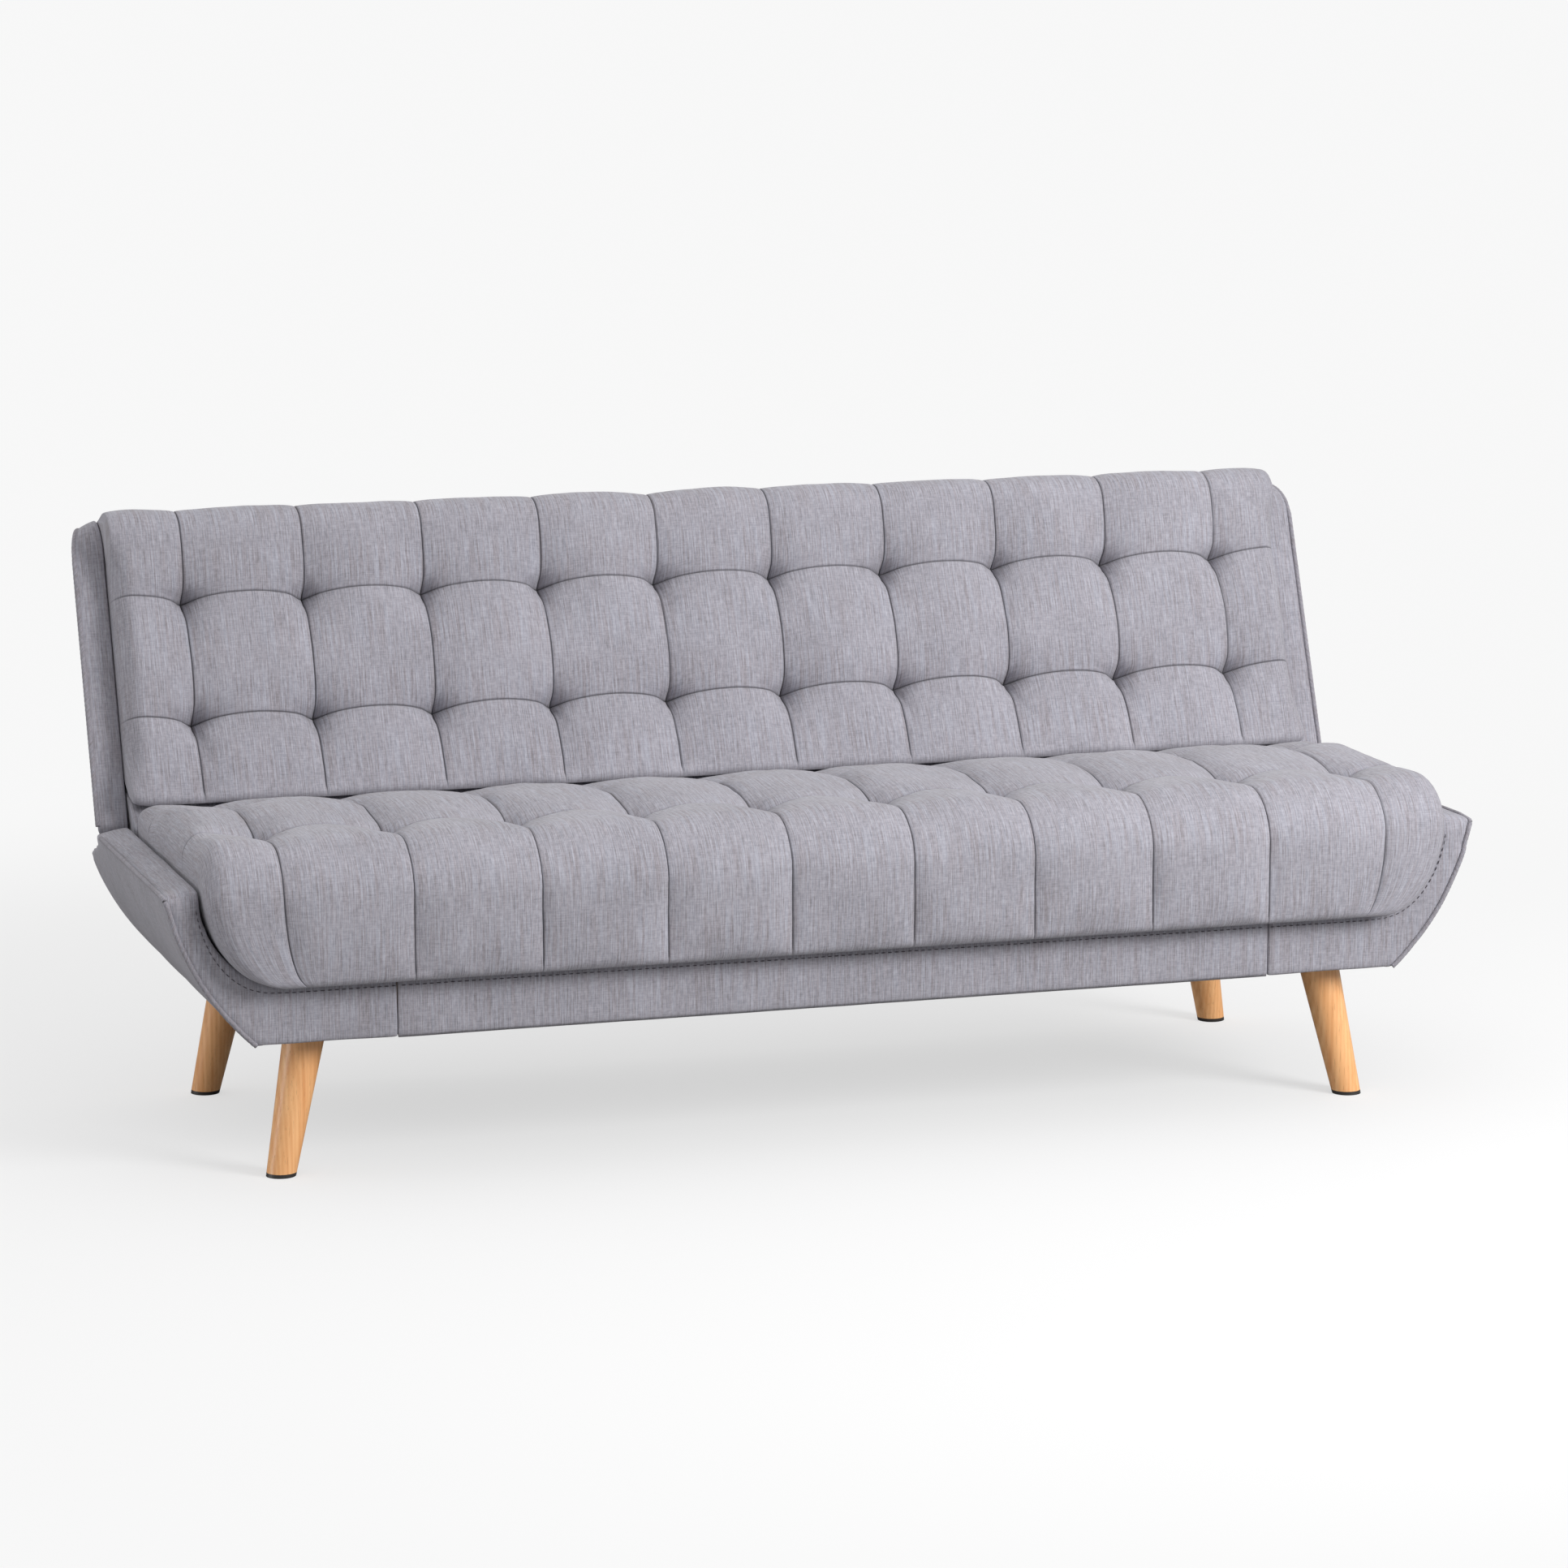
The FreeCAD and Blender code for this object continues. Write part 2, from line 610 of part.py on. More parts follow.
slope_end = (slope_start[0] + slope_run * math.cos(slope), slope_start[1] + slope_run * math.sin(slope))
FAR = 2 * dim.overall_depth
backrest_path = [
    (PIVOT[0] + dim.nose_radius, -FAR, 0),
    (PIVOT[0] + dim.nose_radius, PIVOT[1], 0),
    ("bow", *polar(PIVOT, dim.nose_radius, LIFTED / 2)),
    (slope_start[0], slope_start[1], 0),
    (slope_end[0], slope_end[1], 0),
    (slope_end[0], FAR, 0),
    (FAR, FAR, 0),
    (FAR, -FAR, 0),
]
wing = prism("xz", wing_outline, dim.base_front, dim.base_rear)
wing = wing.cut(prism("xz", cushion_end(dim.soft_gap, FAR, 0), -FAR, FAR))
wing = wing.cut(block_between((0, dim.end_rail_out + dim.soft_gap), (dim.front_rail_face, FAR), (0, FAR)))
wing = wing.cut(prism("yz", backrest_path, 0, dim.overall_width))
pocket_floor = dim.pivot_height - dim.pocket_drop
slot_floor = dim.pivot_height - dim.slot_drop
wing = wing.cut(block_between((0, dim.slot_out), (slot_front, dim.rear_rail_back), (pocket_floor, FAR)))
wing = wing.cut(block_between((0, dim.slot_out), (slot_front, FAR), (slot_floor, FAR)))
node(solid("LeftWing", mirrored(wing)), "left_wing")
node(solid("RightWing", wing), "right_wing")

welt_foot = Vector(dim.wing_foot, dim.base_front, dim.base_height)
welt_tip = Vector(dim.tip_half_width, dim.base_front, dim.wing_tip_height)
welt_curve = Part.Arc(welt_foot, Vector(wing_mid[0], dim.base_front, wing_mid[1]), welt_tip)
welt_arc = welt_curve.toShape()
welt_profile = Part.Wire(Part.makeCircle(dim.piping_radius, welt_foot, welt_curve.tangent(0)[0]))
welt_front = Part.Wire([welt_arc]).makePipeShell([welt_profile], True, True)
welt_corner = Part.makeSphere(dim.piping_radius, welt_tip)
welt_side = Part.makeCylinder(dim.piping_radius, slope_end[0] - dim.base_front, welt_tip, Vector(0, 1, 0))
seat_welt = welt_front.fuse(welt_corner).fuse(welt_side).cut(wing)
node(solid("LeftSeatPiping", mirrored(seat_welt)), "left_seat_piping")
node(solid("RightSeatPiping", seat_welt), "right_seat_piping")

panel_inner = dim.nose_radius - dim.panel_thickness + dim.soft_gap
rear_panel_section = [
    (PIVOT[0] + panel_inner, dim.base_height + dim.soft_gap, 0),
    (PIVOT[0] + dim.nose_radius, dim.base_height + dim.soft_gap, 0),
    (PIVOT[0] + dim.nose_radius, PIVOT[1], 0),
    ("bow", *polar(PIVOT, dim.nose_radius, LIFTED / 2)),
    (*polar(PIVOT, dim.nose_radius, LIFTED), 0),
    (*polar(PIVOT, panel_inner, LIFTED), 0),
    ("bow", *polar(PIVOT, panel_inner, LIFTED / 2)),
    (PIVOT[0] + panel_inner, PIVOT[1], 0),
]
panel_half = dim.slot_in - 2 * dim.soft_gap
node(solid("SeatRearPanel", prism("yz", rear_panel_section, -panel_half, panel_half)), "seat_rear_panel")

# ---------------------------------------------------------------- click-clack hinge, seat side
PLATE_X = ("end_rail_out", "end_rail_out + plate_thickness")
ARM_X = ("arm_in", "arm_out")
turn = math.radians(dim.pawl_angle)
radial = (math.cos(turn), math.sin(turn))
tangent = (-math.sin(turn), math.cos(turn))
PAWL_Y = f"finger_radius * {radial[0]} + pawl_arm * {tangent[0]}"
PAWL_Z = f"finger_radius * {radial[1]} + pawl_arm * {tangent[1]}"

seat_bolts = []
for side, x in pair(PLATE_X):
    head = pin(f"SeatPlateHead_{side}", x, "0", "0", "seat_plate_radius", "pivot")
    foot = box(f"SeatPlateFoot_{side}", x, ("-seat_plate_front", "seat_plate_rear"),
               ("-seat_plate_drop", "-seat_plate_neck"), "pivot")
    holes = [pin(f"SeatPlateBore_{side}", x, "0", "0", "pivot_radius + running_gap", "pivot"),
             pin(f"SeatPlatePawlBore_{side}", x, PAWL_Y, PAWL_Z, "pawl_pin_radius", "pivot")]
    holes += [pin(f"SeatPlateHole_{side}_{i}", x, y, BOLT_DROP, "bolt_radius + running_gap", "pivot")
              for i, y in enumerate(BOLT_SPOTS)]
    plate = cut(f"SeatPlate_{side}", fuse(f"SeatPlateBlank_{side}", [head, foot]), holes)
    node(plate, f"{side}_seat_hinge_plate")

HEAD_IN_X = ("end_rail_out - pin_head", "end_rail_out")
HEAD_OUT_X = ("arm_out + soft_gap", "arm_out + soft_gap + pin_head")
WASHER_X = ("end_rail_out + plate_thickness", "arm_in - washer_slack")
for side, x in pair((HEAD_IN_X[0], HEAD_OUT_X[1])):
    shaft = pin(f"PivotShaft_{side}", x, "0", "0", "pivot_radius", "pivot")
    inner, outer, washer_x = (dict(pair(span))[side] for span in (HEAD_IN_X, HEAD_OUT_X, WASHER_X))
    heads = [pin(f"PivotHeadIn_{side}", inner, "0", "0", "pin_head_radius", "pivot"),
             pin(f"PivotHeadOut_{side}", outer, "0", "0", "pin_head_radius", "pivot")]
    node(fuse(f"PivotPin_{side}", [shaft] + heads), f"{side}_pivot_pin")
    ring = pin(f"WasherRing_{side}", washer_x, "0", "0", "washer_radius", "pivot")
    bore = pin(f"WasherBore_{side}", washer_x, "0", "0", "pivot_radius + running_gap", "pivot")
    node(cut(f"Washer_{side}", ring, [bore]), f"{side}_pivot_washer")
    pawl_x = dict(pair(("end_rail_out", "arm_out + soft_gap")))[side]
    node(pin(f"PawlPin_{side}", pawl_x, PAWL_Y, PAWL_Z, "pawl_pin_radius", "pivot"), f"{side}_pawl_pin")

    bolt_x = dict(pair(("end_rail_in", "end_rail_out + plate_thickness")))[side]
    head_x = dict(pair(SUNK_HEAD_X))[side]
    for i, y in enumerate(BOLT_SPOTS):
        seat_bolts.append(fuse(f"SeatBolt_{side}_{i}", [
            pin(f"SeatBoltShank_{side}_{i}", bolt_x, y, BOLT_DROP, "bolt_radius", "pivot"),
            pin(f"SeatBoltHead_{side}_{i}", head_x, y, BOLT_DROP, "bolt_head_radius", "pivot")]))
node(group("SeatHingeBolts", seat_bolts), "seat_hinge_bolts")

# ---------------------------------------------------------------- pawls, swung clear of their notches
for side, x in pair(("arm_in", "arm_out")):
    boss = pin(f"PawlBoss_{side}", x, "0", "0", "pawl_width")
    bore = pin(f"PawlBore_{side}", x, "0", "0", "pawl_pin_radius + running_gap")
    finger = box(f"PawlFinger_{side}", x, ("-pawl_width / 2", "pawl_width / 2"),
                 ("0", "pawl_arm + tooth_width / 2"))
    tooth = box(f"PawlTooth_{side}", x, ("0", "finger_radius - quadrant_radius + tooth_depth"),
                ("pawl_arm - tooth_width / 2", "pawl_arm + tooth_width / 2"))
    pawl = cut(f"Pawl_{side}", fuse(f"PawlBlank_{side}", [boss, finger, tooth]), [bore])
    place(pawl, "pivot", "0", PAWL_Y, PAWL_Z, spin=Rotation(Vector(1, 0, 0), 1))
    pawl.setExpression("Placement.Rotation.Angle", formula("pawl_angle - 180 + pawl_swing"))
    node(pawl, f"{side}_pawl")

# ---------------------------------------------------------------- backrest: notched hinge arms
ARM_SPOTS = ("190", "250", "310")    # up the hinge arm, from the pivot
ARM_MIDDLE = "-arm_width / 2"
LOCKS = (LIFTED, dim.flat_angle, dim.flat_angle - dim.lounge_angle, 0)
NOTCH_MARGIN = 11       # how far the quadrant runs past its outer notches, in degrees
notch_angles = [90 + dim.pawl_angle - lock for lock in LOCKS]
notch_half = dim.tooth_width / 2 + dim.tooth_gap
notch_floor = dim.quadrant_radius - dim.tooth_depth - dim.tooth_gap
for side, x in pair(ARM_X):
    head = pin(f"ArmHead_{side}", x, "0", "0", "arm_head_radius")
    bar = box(f"ArmBar_{side}", x, ("-arm_width", "0"), ("0", "arm_length"))
    sector = doc.addObject("Part::Cylinder", f"ArmQuadrant_{side}")
    sector.setExpression("Radius", formula("quadrant_radius"))
    sector.setExpression("Height", formula("plate_thickness"))
    sector.Angle = notch_angles[-1] - notch_angles[0] + 2 * NOTCH_MARGIN
    first_edge = Rotation(Vector(1, 0, 0), notch_angles[0] - NOTCH_MARGIN - 270)
    place(sector, "floor", x[0], "0", "0", spin=first_edge * ALONG_X)
    tools = [pin(f"ArmBore_{side}", x, "0", "0", "pivot_radius + running_gap")]
    for i, angle in enumerate(notch_angles):
        notch = doc.addObject("Part::Box", f"Notch_{side}_{i}")
        notch.setExpression("Length", formula("plate_thickness"))
        notch.setExpression("Width", formula("2 * tooth_depth"))
        notch.setExpression("Height", formula("tooth_width + 2 * tooth_gap"))
        start = polar(polar((0, 0), notch_floor, angle), notch_half, angle - 90)
        place(notch, "floor", x[0], *start, spin=Rotation(Vector(1, 0, 0), angle))
        tools.append(notch)
    tools += [pin(f"ArmHole_{side}_{i}", x, ARM_MIDDLE, z, "bolt_radius + running_gap")
              for i, z in enumerate(ARM_SPOTS)]
    arm = cut(f"Arm_{side}", fuse(f"ArmBlank_{side}", [head, bar, sector]), tools)
    node(place(arm, "back"), f"{side}_back_hinge_arm")

# ---------------------------------------------------------------- backrest: timber frame
STILE_X = ("arm_in - rail_thickness", "arm_in")
STILE_Z = ("back_rail_foot + rail_thickness", "frame_top - rail_thickness")
BACK_RAIL_Y = ("-rail_front_depth", "-rail_back_gap")
BACK_FULL = ("-arm_in", "arm_in")
node(box("BackBottomRail", BACK_FULL, BACK_RAIL_Y, ("back_rail_foot", STILE_Z[0]), "back"), "back_bottom_rail")
node(box("BackTopRail", BACK_FULL, BACK_RAIL_Y, (STILE_Z[1], "frame_top"), "back"), "back_top_rail")
back_bolts = []
for side, x in pair(STILE_X):
    stile = box(f"BackStile_{side}", x, BACK_RAIL_Y, STILE_Z)
    holes = [pin(f"StileHole_{side}_{i}", x, ARM_MIDDLE, z, "bolt_radius + running_gap")
             for i, z in enumerate(ARM_SPOTS)]
    node(place(cut(f"StileDrilled_{side}", stile, holes), "back"), f"{side}_back_stile")
    shank_x = dict(pair(("arm_in - rail_thickness", "arm_out")))[side]
    head_x = dict(pair(("arm_out", "arm_out + bolt_head")))[side]
    for i, z in enumerate(ARM_SPOTS):
        back_bolts.append(fuse(f"BackBolt_{side}_{i}", [
            pin(f"BackBoltShank_{side}_{i}", shank_x, ARM_MIDDLE, z, "bolt_radius", "back"),
            pin(f"BackBoltHead_{side}_{i}", head_x, ARM_MIDDLE, z, "bolt_head_radius", "back")]))
node(group("BackHingeBolts", back_bolts), "back_hinge_bolts")
mid_stiles = [box(f"MidStile_{side}", x, BACK_RAIL_Y, STILE_Z, "back") for side, x in
              pair(("mid_stile_place - rail_thickness / 2", "mid_stile_place + rail_thickness / 2"))]
node(group("MidStiles", mid_stiles), "back_mid_stiles")

# ---------------------------------------------------------------- backrest: springs, felt, foam and cushion
back_run = dim.frame_top - dim.back_rail_foot
spring_depth = dim.rail_front_depth + dim.wire_gap + dim.wire_radius
stand_up = Placement(Vector(0, -spring_depth, dim.back_rail_foot), Rotation(Vector(1, 0, 0), 90))
back_springs = []
for spring in spring_row(dim.back_spring_count, SPRING_HALF_SPAN, back_run, 0):
    spring.Placement = stand_up.multiply(spring.Placement)
    back_springs.append(spring)
node(solid("BackSprings", Part.makeCompound(back_springs), "back"), "back_springs")
FELT_FACE = f"rail_front_depth + {SPRING_DEPTH}"
node(box("BackFelt", ("-end_rail_in", "end_rail_in"), (f"-({FELT_FACE} + felt_thickness)", f"-({FELT_FACE})"),
         ("back_rail_foot", "frame_top - 2 * soft_gap"), "back"), "back_felt")

back_section = [
    (-dim.face_depth, dim.core_foot, dim.corner_roll),
    (-dim.face_depth, dim.back_top, dim.top_roll),
    (dim.rear_depth - dim.panel_thickness, dim.back_top, dim.back_overtop / 2),
    (dim.rear_depth - dim.panel_thickness, dim.frame_top + dim.soft_gap, 0),
    (-dim.cushion_back_depth, dim.frame_top + dim.soft_gap, 0),
    (-dim.cushion_back_depth, dim.core_foot, 0),
]
back_across = both_sides(prism("xy", [
    (0, dim.rear_depth, 0),
    (dim.back_cushion_half, dim.rear_depth, 0),
    (dim.back_cushion_half, -dim.face_depth, dim.back_side_roll),
    (0, -dim.face_depth, 0)], 0, FAR))
back_block = prism("yz", back_section, -dim.back_cushion_half, dim.back_cushion_half).common(back_across)
scoop = Part.makeCylinder(dim.scoop_radius, dim.overall_width, Vector(-dim.half_width, 0, 0), Vector(1, 0, 0))
back_block = back_block.cut(scoop)
back_foam_x = dim.back_cushion_half - 3 * dim.wadding
back_foam_y = (-dim.face_depth + dim.wadding, -dim.cushion_back_depth - dim.wadding)
back_foam_z = (dim.core_foot + dim.top_roll, dim.frame_top - dim.wadding)
back_room = block_between(*((low - dim.foam_gap, high + dim.foam_gap) for low, high in
                            ((-back_foam_x, back_foam_x), back_foam_y, back_foam_z)))
node(box("BackFoam", (f"-{back_foam_x}", f"{back_foam_x}"), (f"{back_foam_y[0]}", f"{back_foam_y[1]}"),
         (f"{back_foam_z[0]}", f"{back_foam_z[1]}"), "back"), "back_foam")
node(solid("BackCushion", back_block.cut(back_room), "back"), "back_cushion")

# ---------------------------------------------------------------- backrest: flared side borders, piping and rear panel
border_rear = dim.rear_depth - dim.panel_thickness - dim.soft_gap / 2
flare = [
    (dim.border_inner, -dim.strip_depth, 0),
    (dim.back_half_width - dim.piping_radius, -dim.strip_depth, 0),
    (dim.back_half_width - dim.back_flare, border_rear, 0),
    (dim.border_inner, border_rear, 0),
]
border = prism("xy", flare, dim.back_foot, dim.frame_top)
border_section = [
    (-dim.strip_depth, dim.back_foot, 0),
    (-dim.strip_depth, dim.frame_top, dim.border_roll),
    (border_rear, dim.frame_top, 0),
    (border_rear, dim.back_foot, 0),
]
border = border.common(prism("yz", border_section, 0, dim.overall_width))
node(solid("LeftBorder", mirrored(border), "back"), "left_back_side_border")
node(solid("RightBorder", border, "back"), "right_back_side_border")

welt_x = dim.back_half_width - dim.piping_radius
welt_start = Vector(welt_x, -dim.strip_depth, dim.back_foot + dim.piping_radius)
bend_foot = dim.frame_top - dim.border_roll
welt_line = Part.makeLine(welt_start, Vector(welt_x, -dim.strip_depth, bend_foot))
bend_middle = polar((dim.border_roll - dim.strip_depth, bend_foot), dim.border_roll, 135)
welt_bend = Part.Arc(Vector(welt_x, -dim.strip_depth, bend_foot), Vector(welt_x, *bend_middle),
                     Vector(welt_x, -dim.strip_depth + dim.border_roll, dim.frame_top)).toShape()
welt_ring = Part.Wire(Part.makeCircle(dim.piping_radius, welt_start, Vector(0, 0, 1)))
back_welt = Part.Wire([welt_line, welt_bend]).makePipeShell([welt_ring], True, False).cut(border)
node(solid("LeftBackPiping", mirrored(back_welt), "back"), "left_back_piping")
node(solid("RightBackPiping", back_welt, "back"), "right_back_piping")

node(box("BackRearPanel", ("back_flare - back_half_width", "back_half_width - back_flare"),
         ("rear_depth - panel_thickness", "rear_depth"), ("back_foot + soft_gap", "back_span"), "back"),
     "back_rear_panel")

# ---------------------------------------------------------------- build, check and write
doc.recompute()
for thing in doc.Objects:
    if "Invalid" in thing.State or "Error" in thing.State:
        raise RuntimeError(f"{thing.Name} failed: {thing.State}")
for piece in NODES:
    if piece.Shape.isNull() or not piece.Shape.isValid() or not piece.Shape.Solids:
        raise RuntimeError(f"{piece.Label} has no sound solid")
    for part in piece.Shape.Solids:
        if part.Volume <= 0:
            raise RuntimeError(f"{piece.Label} is inside out")

whole = Part.makeCompound([piece.Shape for piece in NODES]).BoundBox
for piece in NODES:
    piece.Shape.exportStep(f"parts/{piece.Label}.step")
    print(f"{piece.Label}: {len(piece.Shape.Solids)} solid(s), {piece.Shape.Volume / 1000:.0f} cm3")
print(f"{len(NODES)} nodes, x {whole.XMin:.1f} to {whole.XMax:.1f}, y {whole.YMin:.1f} to {whole.YMax:.1f},",
      f"z {whole.ZMin:.1f} to {whole.ZMax:.1f}")
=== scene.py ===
# %% [markdown]
# # A tufted click-clack sofa bed
# This lesson dresses a finished engineering model of a sofa bed. The model arrives with every
# board, spring and hinge in its true place, in metres. The hard parts only need a good finish.
# The soft parts are made again here as stuffed, sewn and tufted cloth, and each one rides on the
# part of the mechanism that carries it.

# %% Load the model and note its size
import json
import math

import bmesh
import bpy
import numpy as np
from mathutils import Matrix, Vector, noise


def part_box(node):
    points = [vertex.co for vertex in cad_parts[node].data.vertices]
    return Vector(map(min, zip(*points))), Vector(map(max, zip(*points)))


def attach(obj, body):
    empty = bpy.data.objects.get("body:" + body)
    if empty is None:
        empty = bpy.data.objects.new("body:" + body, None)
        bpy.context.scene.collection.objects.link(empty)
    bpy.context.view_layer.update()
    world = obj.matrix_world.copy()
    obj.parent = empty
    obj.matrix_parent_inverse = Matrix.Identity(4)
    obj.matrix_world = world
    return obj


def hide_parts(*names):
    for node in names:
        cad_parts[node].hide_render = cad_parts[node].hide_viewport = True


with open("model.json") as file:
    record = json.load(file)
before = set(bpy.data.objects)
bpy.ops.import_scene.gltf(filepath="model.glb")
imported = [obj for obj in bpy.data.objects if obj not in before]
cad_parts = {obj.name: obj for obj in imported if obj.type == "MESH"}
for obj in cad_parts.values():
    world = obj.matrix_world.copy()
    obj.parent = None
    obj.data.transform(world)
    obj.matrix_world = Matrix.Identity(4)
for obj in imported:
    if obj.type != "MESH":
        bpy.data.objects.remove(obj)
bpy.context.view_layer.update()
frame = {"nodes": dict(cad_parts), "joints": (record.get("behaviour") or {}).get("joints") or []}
hinge = next(j for j in frame["joints"] if j["name"] == "backrest_recline")
PIVOT = Vector(hinge["pos_m"])

# %% [markdown]
# ## Small helpers
# A finish is a little graph of nodes. These helpers add a node with its settings in one line,
# so that each recipe below reads like a list of ingredients. The first two put a new object in
# the scene.

# %% Object and node helpers


def linked(name, data):
    """An object in the scene that shows a mesh, lamp or camera."""
    made = bpy.data.objects.new(name, data)
    bpy.context.scene.collection.objects.link(made)
    return made


def object_of(name, bm):
    """The shape being edited, closed off and put in the scene."""
    mesh = bpy.data.meshes.new(name)
    bm.to_mesh(mesh)
    bm.free()
    return linked(name, mesh)


def fresh_material(name):
    """A new node material: its tree and its shader."""
    material = bpy.data.materials.new(name)
    material.use_nodes = True
    shader = material.node_tree.nodes["Principled BSDF"]
    return material, material.node_tree, shader


def adjust(node, **settings):
    """A setting with a capital letter is a socket's value, any other is a property."""
    for key, value in settings.items():
        if key[0].isupper():
            node.inputs[key.replace("_", " ")].default_value = value
        else:
            setattr(node, key, value)


def add(tree, kind, *links, **settings):
    """A node with its settings, fed by (source, socket) links."""
    made = tree.nodes.new(kind)
    adjust(made, **settings)
    for source, socket in links:
        tree.links.new(source, made.inputs[socket])
    return made


def plug(tree, sockets, values):
    """Feeds each socket a value: another node's output, or a plain one."""
    for socket, value in zip(sockets, values):
        if isinstance(value, bpy.types.NodeSocket):
            tree.links.new(value, socket)
        else:
            socket.default_value = value


def tone(red, green, blue):
    """A colour from its screen values, 0 to 255, as the shader's linear light."""
    shares = [v / 255 for v in (red, green, blue)]
    light = [v / 12.92 if v <= 0.04045 else ((v + 0.055) / 1.055) ** 2.4 for v in shares]
    return (*light, 1.0)


def blend_colours(tree, factor, first, second):
    """Two colours mixed by a factor, each a socket or a plain value."""
    made = add(tree, "ShaderNodeMix", data_type="RGBA")
    plug(tree, [made.inputs[k] for k in (0, 6, 7)], (factor, first, second))
    return made.outputs[2]


def stretched_noise(tree, source, scale, detail=2.0, roughness=0.55):
    """Noise whose grains are 1/scale long along each direction."""
    mapping = add(tree, "ShaderNodeMapping", (source, "Vector"), Scale=scale)
    made = add(tree, "ShaderNodeTexNoise", (mapping.outputs[0], "Vector"),
               Scale=1.0, Detail=detail, Roughness=roughness)
    return made.outputs[0]


def maths(tree, operation, first, second):
    """A sum, product or the like of two values, each a socket or a plain value."""
    made = add(tree, "ShaderNodeMath", operation=operation)
    plug(tree, made.inputs, (first, second))
    return made.outputs[0]


def weighted(tree, *parts):
    """The sum of (value, share) pairs."""
    total = maths(tree, "MULTIPLY", *parts[0])
    for value, share in parts[1:]:
        total = maths(tree, "ADD", total, maths(tree, "MULTIPLY", value, share))
    return total


def spread(tree, value, low, high):
    """Stretches a value so that low becomes 0 and high becomes 1."""
    return add(tree, "ShaderNodeMapRange", (value, 0), From_Min=low, From_Max=high).outputs[0]


def roughness(tree, shader, value, low, high):
    """Lets a value from 0 to 1 move the shader's roughness from low to high."""
    ranged = add(tree, "ShaderNodeMapRange", (value, 0), To_Min=low, To_Max=high)
    tree.links.new(ranged.outputs[0], shader.inputs["Roughness"])


def relief(tree, shader, height, strength, distance):
    """Fine relief on a surface, too small to model."""
    bump = add(tree, "ShaderNodeBump", (height, "Height"), Strength=strength, Distance=distance)
    tree.links.new(bump.outputs[0], shader.inputs["Normal"])


def scaled(shade, share):
    """A lighter or darker form of a colour."""
    return tuple(min(c * share, 1.0) for c in shade[:3]) + (1.0,)


# %% [markdown]
# ## The camera
# A long lens a good way off keeps the sofa's lines nearly parallel, as in a catalogue picture.
# It stands to the left of the middle, looks a little down, and turns to face the tufted back.

# %% Camera
CAMERA_PLACE = Vector((-2.097, -6.5665, 1.635))
CAMERA_TURN = math.radians(17.93)
CAMERA_DIP = math.radians(10.0)
CAMERA_LENS = 118.05

camera = linked("camera", bpy.data.cameras.new("camera"))
camera.data.lens = CAMERA_LENS
camera.data.sensor_width = 36.0
camera.location = CAMERA_PLACE
camera.rotation_euler = (math.pi / 2 - CAMERA_DIP, 0.0, -CAMERA_TURN)
bpy.context.scene.camera = camera
print("camera", tuple(round(v, 2) for v in CAMERA_PLACE))

# %% [markdown]
# ## Floor and light
# The sofa stands on a plain pale floor that runs out of sight into a pale surround. The light is
# what a big white studio gives: soft from all round, and strongest from above and a little to
# the front right, so the seat's top is brightest and the left end falls into gentle shade. A round
# lamp a few steps away gives that fall-off. A low one opposite lights the left side, and the
# surround is brighter above than below. The floor throws back only part of it all.

# %% Floor, surround and lamps
PALE = 0.935
SKY, GROUND = 0.95, 0.20
SKY_STARTS, SKY_FULL = -0.2, 0.8
FLOOR_LIFT, FAR_FLOOR_LIGHT = 0.60, 0.5
FLOOR_REACH = 40.0
MIDDLE = Vector((0.0, 0.0, 0.45))
WHITE = (1.0, 1.0, 1.0, 1.0)
bpy.context.scene.view_settings.view_transform = "Standard"


def eye_and_light(tree, seen, lit):
    """A strength that differs for what is looked at and for what it lights."""
    path = add(tree, "ShaderNodeLightPath")
    mixed = add(tree, "ShaderNodeMix")
    plug(tree, [mixed.inputs[k] for k in (0, 2, 3)], (path.outputs["Is Camera Ray"], lit, seen))
    return mixed.outputs[0]


world = bpy.data.worlds.new("surround")
bpy.context.scene.world = world
world.use_nodes = True
sky = world.node_tree
surround = sky.nodes["Background"]
adjust(surround, Color=WHITE)
aim = add(sky, "ShaderNodeTexCoord").outputs["Generated"]
upward = add(sky, "ShaderNodeSeparateXYZ", (aim, 0)).outputs["Z"]
rise = add(sky, "ShaderNodeMapRange", (upward, 0), From_Min=SKY_STARTS, From_Max=SKY_FULL,
           To_Min=GROUND, To_Max=SKY)
sky.links.new(eye_and_light(sky, PALE, rise.outputs[0]), surround.inputs["Strength"])


def lamp(name, kind, place, power, **settings):
    """A lamp at a place, turned to face the sofa's middle."""
    light = bpy.data.lights.new(name, kind)
    light.energy = power
    adjust(light, **settings)
    lamp_object = linked(name, light)
    lamp_object.location = place
    lamp_object.rotation_euler = (Vector(place) - MIDDLE).to_track_quat("Z", "Y").to_euler()


lamp("key_lamp", "AREA", (2.5, -3.3, 2.2), 158.0, shape="DISK", size=1.8)
lamp("left_lamp", "SUN", (-3.0, 0.3, 0.2), 1.7, angle=math.radians(30))

bm = bmesh.new()
bmesh.ops.create_grid(bm, x_segments=2, y_segments=2, size=FLOOR_REACH)
floor = object_of("floor", bm)
print("floor, surround and lamps")

# %% [markdown]
# The floor's own finish: near the sofa it takes shade like matt paper, and further off it turns
# into the same pale tone as the surround, so no horizon shows.

# %% Floor finish
FADE_STARTS, FADE_ENDS = 1.3, 2.6

